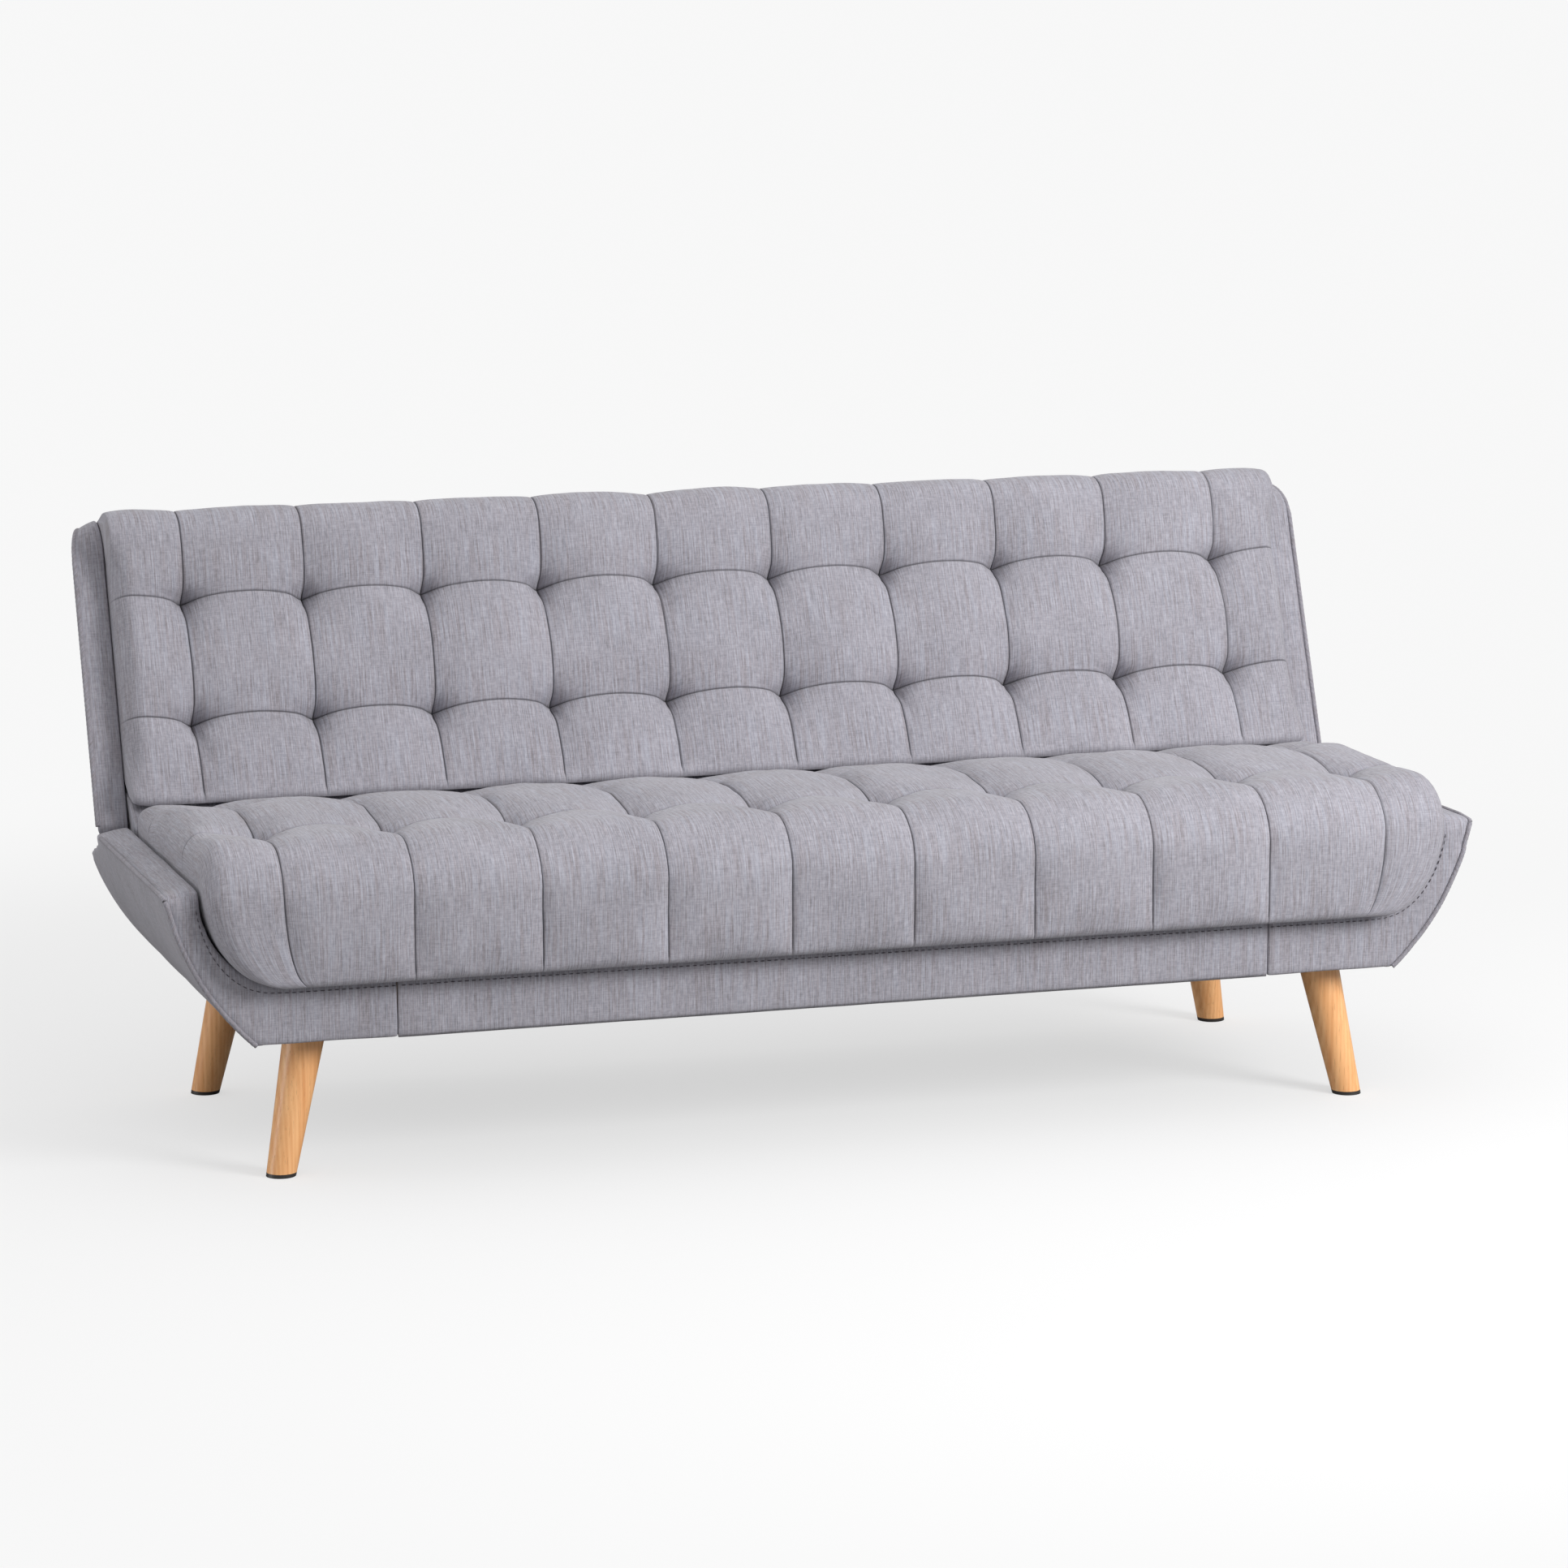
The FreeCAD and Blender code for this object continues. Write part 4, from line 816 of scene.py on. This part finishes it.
back_outline = Outline([
    (SHELF, math.sqrt(SCOOP ** 2 - SHELF ** 2), 0.004),
    (-0.090, math.sqrt(SCOOP ** 2 - 0.090 ** 2) + 0.001, 0.060),
    (FACE, BACK_FOOT - 0.008, 0.012),
    (FACE, BACK_TOP, 0.050),
    (LIP, BACK_TOP, 0.007),
    (LIP, LIP_FOOT, 0.003),
    (SHELF, LIP_FOOT, 0.003),
])
back_rows_t = [back_outline.nearest(FACE, u) for u in BACK_ROWS_U]
back_start = back_outline.nearest(FACE + 0.006, BACK_FOOT - 0.006)
back_end = back_outline.nearest(LIP, LIP_FOOT + 0.004)
back_columns = columns_with_ends(MARKS, PER_BAY, BACK_END, BACK_ROLL, BACK_DIP)
back_tufting = Tufting(TUFT_COLUMNS, back_rows_t, back_start, back_end,
                       depths=(0.0060, 0.0030, 0.0370), reaches=(0.033, 0.026, 0.037),
                       shares=(1.0, 1.0), row_seam=(0.0009, 0.0016), seed=11)
back_lines = stations([back_start, *back_rows_t, back_end, back_start + back_outline.length],
                      [24, 28, 44, 18], ROW_GATHERS)
back_cushion = quilted("back_cushion_cover", back_outline, back_tufting, back_columns, back_lines,
                       BACK_SPINE, back_place, arch=0.007, filling=0.006, seed=8, shaped=back_shape)
dress(back_cushion, "backrest", ["back_cushion", "back_foam"])

# %% [markdown]
# ## Side borders of the backrest
# A narrow strip of the same cloth runs up each side of the tufted face and over the top. It lies
# lower than the pillows, so their edge rolls down to it, and its outer edge carries the piping.
# A short sleeve makes it, wrapped round the border's own outline with soft corners.

# %% Padded strips and boards


def edge_columns(low, high, roll, count):
    """Columns of a padded strip: both ends roll in over a small radius."""
    turn = np.linspace(0, math.pi / 2, 5)
    left = low + roll * (1 - np.cos(turn))
    inner = np.linspace(low + roll, high - roll, count + 1)[1:-1]
    place = np.concatenate([left, inner, (low + high) - left[::-1]])
    tuck_left = roll * (1 - np.sin(turn))
    tuck = np.concatenate([tuck_left, np.zeros(len(inner)), tuck_left[::-1]])
    return place, tuck


def strip(name, corners, low, high, roll, cloth_finish, put, count, swelling=0.0, step=0.009):
    """A padded strip or a covered board: an outline drawn out across the sofa, softly edged."""
    outline = Outline(corners)
    rows = np.linspace(0, outline.length, max(24, int(outline.length / step)))
    place_x, tuck = edge_columns(low, high, roll, count)
    a, t = np.meshgrid(place_x, rows, indexing="ij")
    place, away = outline.at(t)
    share = np.clip((a - low) / (high - low), 0, 1)
    crown = swelling * 4 * share * (1 - share)
    place = place + away * (crown - np.repeat(tuck[:, None], len(rows), 1))[..., None]
    places = put(a, place)
    uneven = drift_of_stuffing(places, 0.06, 0.0006, 1)
    places = places + uneven[..., None] * np.array((0.3, 1.0, 0.3))
    made = sleeve(name, places, place_x, rows)
    made.data.materials.append(cloth_finish)
    return made


# %% Backrest borders
BORDER_INNER, BORDER_OUTER, BORDER_REAR = 0.8478, 0.8900, 0.8570
STRIP_FRONT, STRIP_REAR = -0.082, 0.004
STRIP_FOOT, STRIP_TOP = 0.050, 0.481
STRIP_TOP_RADIUS, STRIP_FOOT_RADIUS = 0.056, 0.010


def border_place(x, place):
    """A border narrows towards its back edge, and its top falls a little to the outside."""
    depth = np.clip((place[..., 0] - STRIP_FRONT) / (STRIP_REAR - STRIP_FRONT), 0, 1)
    outer = BORDER_OUTER + (BORDER_REAR - BORDER_OUTER) * depth
    share = (x - BORDER_INNER) / (BORDER_OUTER - BORDER_INNER)
    raised = place.copy()
    raised[..., 1] += 0.012 * (1 - share) * np.clip((place[..., 1] - 0.38) / 0.10, 0, 1)
    return back_place(BORDER_INNER + share * (outer - BORDER_INNER), raised)


BORDER_CORNERS = [
    (STRIP_FRONT, STRIP_FOOT, STRIP_FOOT_RADIUS),
    (STRIP_FRONT, STRIP_TOP, STRIP_TOP_RADIUS),
    (STRIP_REAR, STRIP_TOP, 0.006),
    (STRIP_REAR, STRIP_FOOT, 0.004),
]
right_border = strip("right_border_cover", BORDER_CORNERS, BORDER_INNER, BORDER_OUTER, 0.003,
                     UPHOLSTERY, border_place, 8, swelling=0.0012)
dress_both(right_border, "backrest", "back_side_border")

# %% [markdown]
# ## The flared ends of the seat
# Each end of the seat is a wing: a foam-covered board that sweeps outwards from the band to a
# soft tip beside the cushion. Its outline has a hinge pocket behind, so the engineering shape is
# copied, merged, rebuilt from small even squares and smoothed, which rounds every edge as foam
# under cloth does. The tip is smoothed more than the rest.

# %% Wing maker
WING_SQUARE = 0.004
SMOOTHING, TIP_SMOOTHING = 4, 14
TIP_RADIUS, SIDE_RADIUS = 0.026, 0.014


def cover_map(mesh):
    """Lays the cloth's map on a mesh from whichever side each face looks to."""
    layer = mesh.uv_layers.get("UVMap") or mesh.uv_layers.new(name="UVMap")
    spots = np.zeros(len(mesh.vertices) * 3)
    mesh.vertices.foreach_get("co", spots)
    spots = spots.reshape(-1, 3)
    uv = np.zeros((len(mesh.loops), 2))
    for face in mesh.polygons:
        side = int(np.argmax(np.abs(face.normal)))
        pick = ((1, 2), (0, 2), (0, 1))[side]
        for at in face.loop_indices:
            uv[at] = spots[mesh.loops[at].vertex_index][list(pick)]
    layer.data.foreach_set("uv", uv.ravel())


def eased_tip(spot, front, top, side):
    """Draws a point in so that a wing's top bends softly into its front and its outer side."""
    forward, upward = front + TIP_RADIUS - spot.y, spot.z - (top - TIP_RADIUS)
    far = math.hypot(forward, upward)
    if forward > 0 and upward > 0 and far > TIP_RADIUS:
        spot.y += forward * (1 - TIP_RADIUS / far)
        spot.z -= upward * (1 - TIP_RADIUS / far)
    outward, upward = spot.x - (side - SIDE_RADIUS), spot.z - (top - SIDE_RADIUS)
    far = math.hypot(outward, upward)
    if outward > 0 and upward > 0 and far > SIDE_RADIUS:
        spot.x -= outward * (1 - SIDE_RADIUS / far)
        spot.z -= upward * (1 - SIDE_RADIUS / far)
    return spot


def smoothed(bm, verts, rounds):
    """Evens out some points of a shape, a little each round."""
    for _ in range(rounds):
        bmesh.ops.smooth_vert(bm, verts=verts, factor=0.5,
                              use_axis_x=True, use_axis_y=True, use_axis_z=True)


def softened(name, node, tip):
    """A foam-covered copy of a model part: even squares, rounded edges and a softer tip."""
    bm = bmesh.new()
    bm.from_mesh(frame["nodes"][node].data)
    bmesh.ops.remove_doubles(bm, verts=bm.verts, dist=1e-5)
    rough = object_of(name, bm)
    rebuild = rough.modifiers.new("squares", "REMESH")
    rebuild.mode = "VOXEL"
    rebuild.voxel_size = WING_SQUARE
    bpy.context.view_layer.update()
    graph = bpy.context.evaluated_depsgraph_get()
    even = bpy.data.meshes.new_from_object(rough.evaluated_get(graph))
    rough_mesh = rough.data
    bpy.data.objects.remove(rough)
    bpy.data.meshes.remove(rough_mesh)
    bm = bmesh.new()
    bm.from_mesh(even)
    box_low, box_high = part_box(node)
    for vert in bm.verts:
        if tip(vert.co):
            vert.co = eased_tip(vert.co.copy(), box_low.y, box_high.z, box_high.x)
    smoothed(bm, bm.verts, SMOOTHING)
    smoothed(bm, [v for v in bm.verts if tip(v.co)], TIP_SMOOTHING)
    bm.normal_update()
    for vert in bm.verts:
        swell_here = 0.0006 + 0.0009 * noise.noise(vert.co / 0.07)
        vert.co += vert.normal * swell_here
    for face in bm.faces:
        face.smooth = True
    bm.to_mesh(even)
    bm.free()
    even.name = name
    cover_map(even)
    return linked(name, even)


right_wing = softened("right_wing_cover", "right_wing",
                      lambda p: p.x > 0.80 and p.z > 0.340 and p.y < 0.13)
right_wing.data.materials.clear()
right_wing.data.materials.append(UPHOLSTERY)
left_wing = dress_both(right_wing, "seat", "wing")
cover_map(left_wing.data)

# %% [markdown]
# ## Covered boards
# The front band and the two rear panels are thin boards in tight cloth, so they are strips too,
# with small soft edges.

# %% Band and rear panels
LONG = 150
PANEL_FACE, PANEL_BACK = 0.0048, 0.0118
PANEL_FOOT, PANEL_TOP = 0.047, 0.4775


def on_circle(radius, angle, rounding):
    """A corner of an outline on a circle round the hinge pivot."""
    return PIVOT.y + radius * math.cos(angle), PIVOT.z + radius * math.sin(angle), rounding


low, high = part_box("front_band")
band = strip("front_band_cover", [
    (low.y, low.z, 0.0025), (low.y, high.z, 0.0025),
    (high.y, high.z, 0.001), (high.y, low.z, 0.001),
], low.x - 0.0012, high.x + 0.0012, 0.0012, UPHOLSTERY, upright, LONG, step=0.006)
dress(band, "seat", ["front_band"])

panel = strip("back_rear_cover", [
    (PANEL_FACE, PANEL_FOOT, 0.002), (PANEL_FACE, PANEL_TOP, 0.002),
    (PANEL_BACK, PANEL_TOP, 0.003), (PANEL_BACK, PANEL_FOOT, 0.003),
], -BORDER_REAR + 0.0005, BORDER_REAR - 0.0005, 0.002, REAR_CLOTH, back_place, LONG, step=0.010)
dress(panel, "backrest", ["back_rear_panel"])

low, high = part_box("seat_rear_panel")
OUTER, INNER = 0.0434, 0.0372
sweep = np.radians(np.linspace(0, 74, 8))
nose_in = [on_circle(INNER, s, 0.02) for s in sweep[:-1]] + [on_circle(INNER, sweep[-1], 0.002)]
nose_out = [on_circle(OUTER, s, 0.03) for s in sweep[:-1]] + [on_circle(OUTER, sweep[-1], 0.002)]
rear_panel = strip("seat_rear_cover", [
    (PIVOT.y + INNER, low.z, 0.002), *nose_in, *nose_out[::-1], (PIVOT.y + OUTER, low.z, 0.002),
], low.x, high.x, 0.002, REAR_CLOTH, upright, LONG, step=0.006)
dress(rear_panel, "seat", ["seat_rear_panel"])

# %% [markdown]
# ## The roll behind the seat
# Behind the seat cushion, hidden while the backrest is up, the padding follows the path of the
# backrest's lower edge. It shows as a trough in the bed. It is cut through at both hinges, so it
# is made as three strips on one outline: a long one between the hinges and a short one outside.

# %% Rear roll
BARREL = 0.1296
ROLL_FRONT, ROLL_FOOT_Y = 0.0925, 0.2085
TROUGH = (0.1085, 0.3905)
SLOT_INNER, SLOT_OUTER = 0.7655, 0.7885

arc = np.radians(np.linspace(135.7, 77.5, 9))
barrel = [on_circle(BARREL, s, 0.05) for s in arc[1:-1]]
roll_corners = [
    (ROLL_FRONT, SEAT_FLOOR, 0.002),
    (ROLL_FRONT, 0.400, 0.002),
    (*TROUGH, 0.004),
    *barrel,
    on_circle(BARREL, arc[-1], 0.006),
    (ROLL_FOOT_Y, 0.330, 0.004),
    (ROLL_FOOT_Y, SEAT_FLOOR, 0.002),
]


def rear_roll_place(x, place):
    """The outer strips narrow towards their foot with the flare of the seat."""
    limit = flare_half_width(place[..., 1]) - 0.001
    share = (np.abs(x) - SLOT_OUTER) / (SEAT_END - SLOT_OUTER)
    squeezed = SLOT_OUTER + share * np.maximum(limit - SLOT_OUTER, 0.004)
    return upright(np.where(np.abs(x) > SLOT_OUTER, np.sign(x) * squeezed, x), place)


middle_roll = strip("seat_rear_roll", roll_corners, -SLOT_INNER + 0.0005, SLOT_INNER - 0.0005,
                    0.004, UPHOLSTERY, upright, LONG, step=0.008)
right_roll = strip("right_seat_rear_roll", roll_corners, SLOT_OUTER + 0.0005, SEAT_END - 0.001,
                   0.004, UPHOLSTERY, rear_roll_place, 8, step=0.008)
left_roll = flipped(right_roll)
for piece in (middle_roll, right_roll, left_roll):
    dress(piece, "seat", ["seat_cushion"])

# %% [markdown]
# ## Piping
# A cord covered in bias-cut cloth is sewn into the outer edge of each wing and each border. It is
# drawn as a slim tube: the same grid again, rolled round a path, its cloth map turned so that the
# threads run slantwise as they do on bias binding.

# %% Piping
PIPING_RADIUS = 0.0033
PIPING_STEP, TWIST_PITCH = 0.0022, 0.0065
BIAS = 0.7071


def filleted(points, radius):
    """A path through points with its inner corners rounded."""
    path = [Vector(points[0])]
    for before, here, after in zip(points, points[1:], points[2:]):
        here = Vector(here)
        to_before, to_after = (Vector(before) - here), (Vector(after) - here)
        reach = min(radius, to_before.length * 0.45, to_after.length * 0.45)
        first, last = here + to_before.normalized() * reach, here + to_after.normalized() * reach
        for k in range(7):
            s = k / 6
            path.append(first.lerp(here, s).lerp(here.lerp(last, s), s))
    path.append(Vector(points[-1]))
    return path


def piping(name, path):
    """A covered cord along a path."""
    line = np.array([tuple(p) for p in path])
    along = lengths_along(line)
    s = np.linspace(0, along[-1], int(along[-1] / PIPING_STEP))
    centre = read_at(s, along, line)
    for _ in range(3):
        centre[1:-1] = (centre[:-2] + 2 * centre[1:-1] + centre[2:]) / 4
    tangent = np.gradient(centre, axis=0)
    tangent /= np.linalg.norm(tangent, axis=1)[:, None]
    side = np.cross(tangent, (0.31, 0.52, 0.79))
    side /= np.linalg.norm(side, axis=1)[:, None]
    up = np.cross(tangent, side)
    turn = np.linspace(0, 2 * math.pi, 11)
    twist = 1 + 0.05 * np.sin(s[:, None] * 2 * math.pi / TWIST_PITCH + turn)
    ring = np.cos(turn)[:, None] * side[:, None] + np.sin(turn)[:, None] * up[:, None]
    places = centre[:, None] + ring * (PIPING_RADIUS * twist)[..., None]
    made = sleeve(name, places, s, PIPING_RADIUS * turn)
    for loop in made.data.uv_layers["UVMap"].data:
        u, v = loop.uv
        loop.uv = ((u + v) * BIAS, (v - u) * BIAS)
    made.data.materials.append(PIPING_CLOTH)
    return made


wing_low, wing_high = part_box("right_wing")
WING_FOOT = Vector((0.782, wing_low.y, wing_low.z + 0.001))
WING_TIP = Vector((0.8955, wing_low.y, 0.3795))
WING_BULGE, WELT_STANDS_OUT, WELT_SITS_IN = 0.0175, 0.0018, 0.0012
chord = WING_TIP - WING_FOOT
bulge = Vector((chord.z, 0, -chord.x)).normalized() * WING_BULGE
sweep = [WING_FOOT + chord * s + bulge * (4 * s * (1 - s)) for s in np.linspace(0, 1, 13)]
raw_path = filleted([*sweep, (WING_TIP.x, 0.128, WING_TIP.z)], 0.002)
finer = [a.lerp(b, k / 12) for a, b in zip(raw_path, raw_path[1:]) for k in range(12)]
wing_path = []
for spot in finer:
    target = eased_tip(spot.copy(), wing_low.y, wing_high.z, wing_high.x)
    _, nearest, normal, _ = right_wing.closest_point_on_mesh(target)
    wing_path.append(nearest + normal * WELT_STANDS_OUT)
dress_both(piping("right_seat_welt", wing_path), "seat", "seat_piping")

border_line = rounded_loop(BORDER_CORNERS, 0.002)
up_front = ((border_line[:, 0] < STRIP_FRONT + STRIP_TOP_RADIUS)
            & (border_line[:, 1] > STRIP_FOOT + STRIP_FOOT_RADIUS))
border_line = border_line[up_front]
border_line = border_line[np.argsort(border_line.sum(1))]
drawn_in = np.array((WELT_SITS_IN, -WELT_SITS_IN)) * (border_line[:, 1:] > STRIP_TOP - 0.055)
welt_x = np.full(len(border_line), BORDER_OUTER - WELT_SITS_IN)
welt_path = border_place(welt_x, border_line + drawn_in)
dress_both(piping("right_back_welt", welt_path), "backrest", "back_piping")

# %% [markdown]
# ## Topstitching
# A row of stitches holds the top of the band and follows the cushion's edge up each wing. A stitch
# is one short rounded bead of thread, repeated along the line and half sunk in the cloth.

# %% Stitches
STITCH_LENGTH, STITCH_GAP, THREAD = 0.0062, 0.0030, 0.0007

thread_finish, tree, shader = fresh_material("thread")
where = add(tree, "ShaderNodeTexCoord").outputs["Object"]
plies = add(tree, "ShaderNodeTexWave", (where, "Vector"), bands_direction="DIAGONAL", Scale=900.0)
tree.links.new(blend_colours(tree, plies.outputs["Fac"], tone(64, 60, 66), tone(92, 87, 94)),
               shader.inputs["Base Color"])
adjust(shader, Roughness=0.7)


def stitching(name, path):
    """Beads of thread along a path of points."""
    line = np.array([tuple(p) for p in path])
    along = lengths_along(line)
    pitch = STITCH_LENGTH + STITCH_GAP
    bm = bmesh.new()
    for k in range(int(along[-1] / pitch)):
        first, last = (Vector(read_at(k * pitch + e, along, line)) for e in (0.0, STITCH_LENGTH))
        turn = (last - first).normalized().to_track_quat("X", "Z").to_matrix().to_4x4()
        size = Matrix.Diagonal((STITCH_LENGTH / 2, THREAD, THREAD, 1))
        place = Matrix.Translation((first + last) / 2) @ turn @ size
        bmesh.ops.create_uvsphere(bm, u_segments=6, v_segments=4, radius=1.0,
                                  matrix=place @ Matrix.Rotation(math.pi / 2, 4, "Y"))
    for face in bm.faces:
        face.smooth = True
    bmesh.ops.recalc_face_normals(bm, faces=bm.faces)
    made = object_of(name, bm)
    made.data.materials.append(thread_finish)
    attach(made, "seat")
    print(name, "stitches", int(along[-1] / pitch))
    return made


band_low, band_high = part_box("front_band")
STITCH_DROP, STITCH_OFFSET = 0.010, 0.010
FLANK_FOOT, FLANK_START, FLANK_TOP = 0.2510, 0.2515, 0.372
row_z, row_y = band_high.z - STITCH_DROP, band_low.y - 0.0003
stitching("band_stitches", [(x, row_y, row_z) for x in (band_low.x + 0.003, band_high.x - 0.003)])
flank_y = wing_low.y - 0.0010
flank = [(FLARE_FOOT + STITCH_OFFSET
          + FLARE * math.sqrt(1 - ((SHOULDER - z) / (SHOULDER - FLANK_FOOT)) ** 2), flank_y, z)
         for z in np.linspace(FLANK_START, FLANK_TOP, 30)]
wing_row = filleted([(band_high.x + 0.004, flank_y, row_z), (0.735, flank_y, row_z), *flank], 0.004)
left_stitches = flipped(stitching("right_wing_stitches", wing_row))
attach(left_stitches, "seat")

# %% [markdown]
# ## Wood
# The legs are turned oak under a clear satin finish: warm honey colour, long fine grain up the
# leg, darker pores. The hidden frame is plain pine. Both read the part's own coordinates, squeezed
# across and drawn out along the grain.

# %% Wood materials


def wood(name, pale, deep, grain, rough, coat):
    """Straight-grained wood. grain is the size of its figure along x, y and z."""
    material, tree, shader = fresh_material(name)
    where = add(tree, "ShaderNodeTexCoord").outputs["Object"]
    figure = stretched_noise(tree, where, grain, 4.0, 0.6)
    pores = stretched_noise(tree, where, tuple(v * 6 for v in grain), 2.0, 0.6)
    bent = add(tree, "ShaderNodeMapping", (where, "Vector"), Scale=tuple(v * 0.5 for v in grain))
    rings = add(tree, "ShaderNodeTexWave", (bent.outputs[0], "Vector"), bands_direction="X",
                Scale=1.0, Distortion=2.2, Detail=2.0)
    level = weighted(tree, (figure, 0.86), (rings.outputs["Fac"], 0.14))
    colour = blend_colours(tree, spread(tree, level, 0.28, 0.72), deep, pale)
    flecks = spread(tree, pores, 0.60, 0.72)
    colour = blend_colours(tree, maths(tree, "MULTIPLY", flecks, 0.45), colour, scaled(deep, 0.55))
    tree.links.new(colour, shader.inputs["Base Color"])
    sunk = maths(tree, "SUBTRACT", figure, maths(tree, "MULTIPLY", flecks, 0.5))
    relief(tree, shader, sunk, 0.25, 0.0005)
    roughness(tree, shader, figure, rough, rough + 0.18)
    adjust(shader, Coat_Weight=coat, Coat_Roughness=0.25)
    return material


OAK = wood("leg_oak", tone(252, 196, 138), tone(228, 158, 98), (110.0, 110.0, 5.0), 0.38, 0.25)
PINE = wood("frame_pine", tone(226, 200, 158), tone(196, 158, 108), (4.0, 90.0, 90.0), 0.62, 0.0)
print("woods", OAK.name, PINE.name)

# %% [markdown]
# ## Metal, plastic, felt and foam
# The hinge plates and fasteners are zinc-plated steel, the springs bare drawn wire, the feet a
# dark moulded plastic. Felt lies on the springs, and a black non-woven cloth closes the base.

# %% Other materials


def metal(name, shade, rough, scratch):
    """Plated or drawn steel with faint crystals and rubbing marks."""
    material, tree, shader = fresh_material(name)
    where = add(tree, "ShaderNodeTexCoord").outputs["Object"]
    marks = stretched_noise(tree, where, scratch, 3.0, 0.6)
    bloom = stretched_noise(tree, where, (60.0, 60.0, 60.0), 3.0, 0.6)
    colour = blend_colours(tree, spread(tree, bloom, 0.35, 0.7), scaled(shade, 0.72), shade)
    tree.links.new(colour, shader.inputs["Base Color"])
    roughness(tree, shader, marks, rough, rough + 0.25)
    relief(tree, shader, marks, 0.15, 0.0002)
    adjust(shader, Metallic=1.0)
    return material


def matted(name, shade, size, strength, rough):
    """Felt, foam, fleece or grained plastic: a mottled colour with a fine uneven surface."""
    material, tree, shader = fresh_material(name)
    where = add(tree, "ShaderNodeTexCoord").outputs["Object"]
    fine = stretched_noise(tree, where, (size, size, size), 4.0, 0.65)
    wide = stretched_noise(tree, where, (size / 12,) * 3, 2.0, 0.5)
    mixed = weighted(tree, (fine, 0.6), (wide, 0.4))
    colour = blend_colours(tree, spread(tree, mixed, 0.35, 0.65), scaled(shade, 0.7), shade)
    tree.links.new(colour, shader.inputs["Base Color"])
    relief(tree, shader, fine, strength, 0.0006)
    adjust(shader, Roughness=rough)
    return material


ZINC = metal("zinc_plate", (0.62, 0.63, 0.66, 1.0), 0.28, (300.0, 40.0, 300.0))
WIRE = metal("spring_wire", (0.30, 0.30, 0.31, 1.0), 0.35, (500.0, 60.0, 60.0))
FOOT = matted("foot_plastic_black", tone(52, 48, 46), 900.0, 0.2, 0.45)
FELT = matted("pad_felt", tone(122, 116, 108), 700.0, 0.6, 0.95)
FLEECE = matted("base_fleece", tone(44, 43, 45), 500.0, 0.5, 0.92)

FINISH_OF = {
    "leg": OAK, "foot_pad": FOOT, "springs": WIRE, "felt": FELT, "cover": FLEECE,
    **dict.fromkeys(("rail", "rails", "blocks", "stile", "stiles"), PINE),
    **dict.fromkeys(("plate", "plates", "screws", "bolts", "pin", "washer", "pawl", "arm"), ZINC),
}
for name, part in frame["nodes"].items():
    if part.hide_render:
        continue
    words = name.split("_")
    finish = FINISH_OF.get("_".join(words[-2:])) or FINISH_OF.get(words[-1])
    if finish is None:
        print("no finish for", name)
        continue
    part.data.materials.clear()
    part.data.materials.append(finish)
print("finished parts", sum(not p.hide_render for p in frame["nodes"].values()))
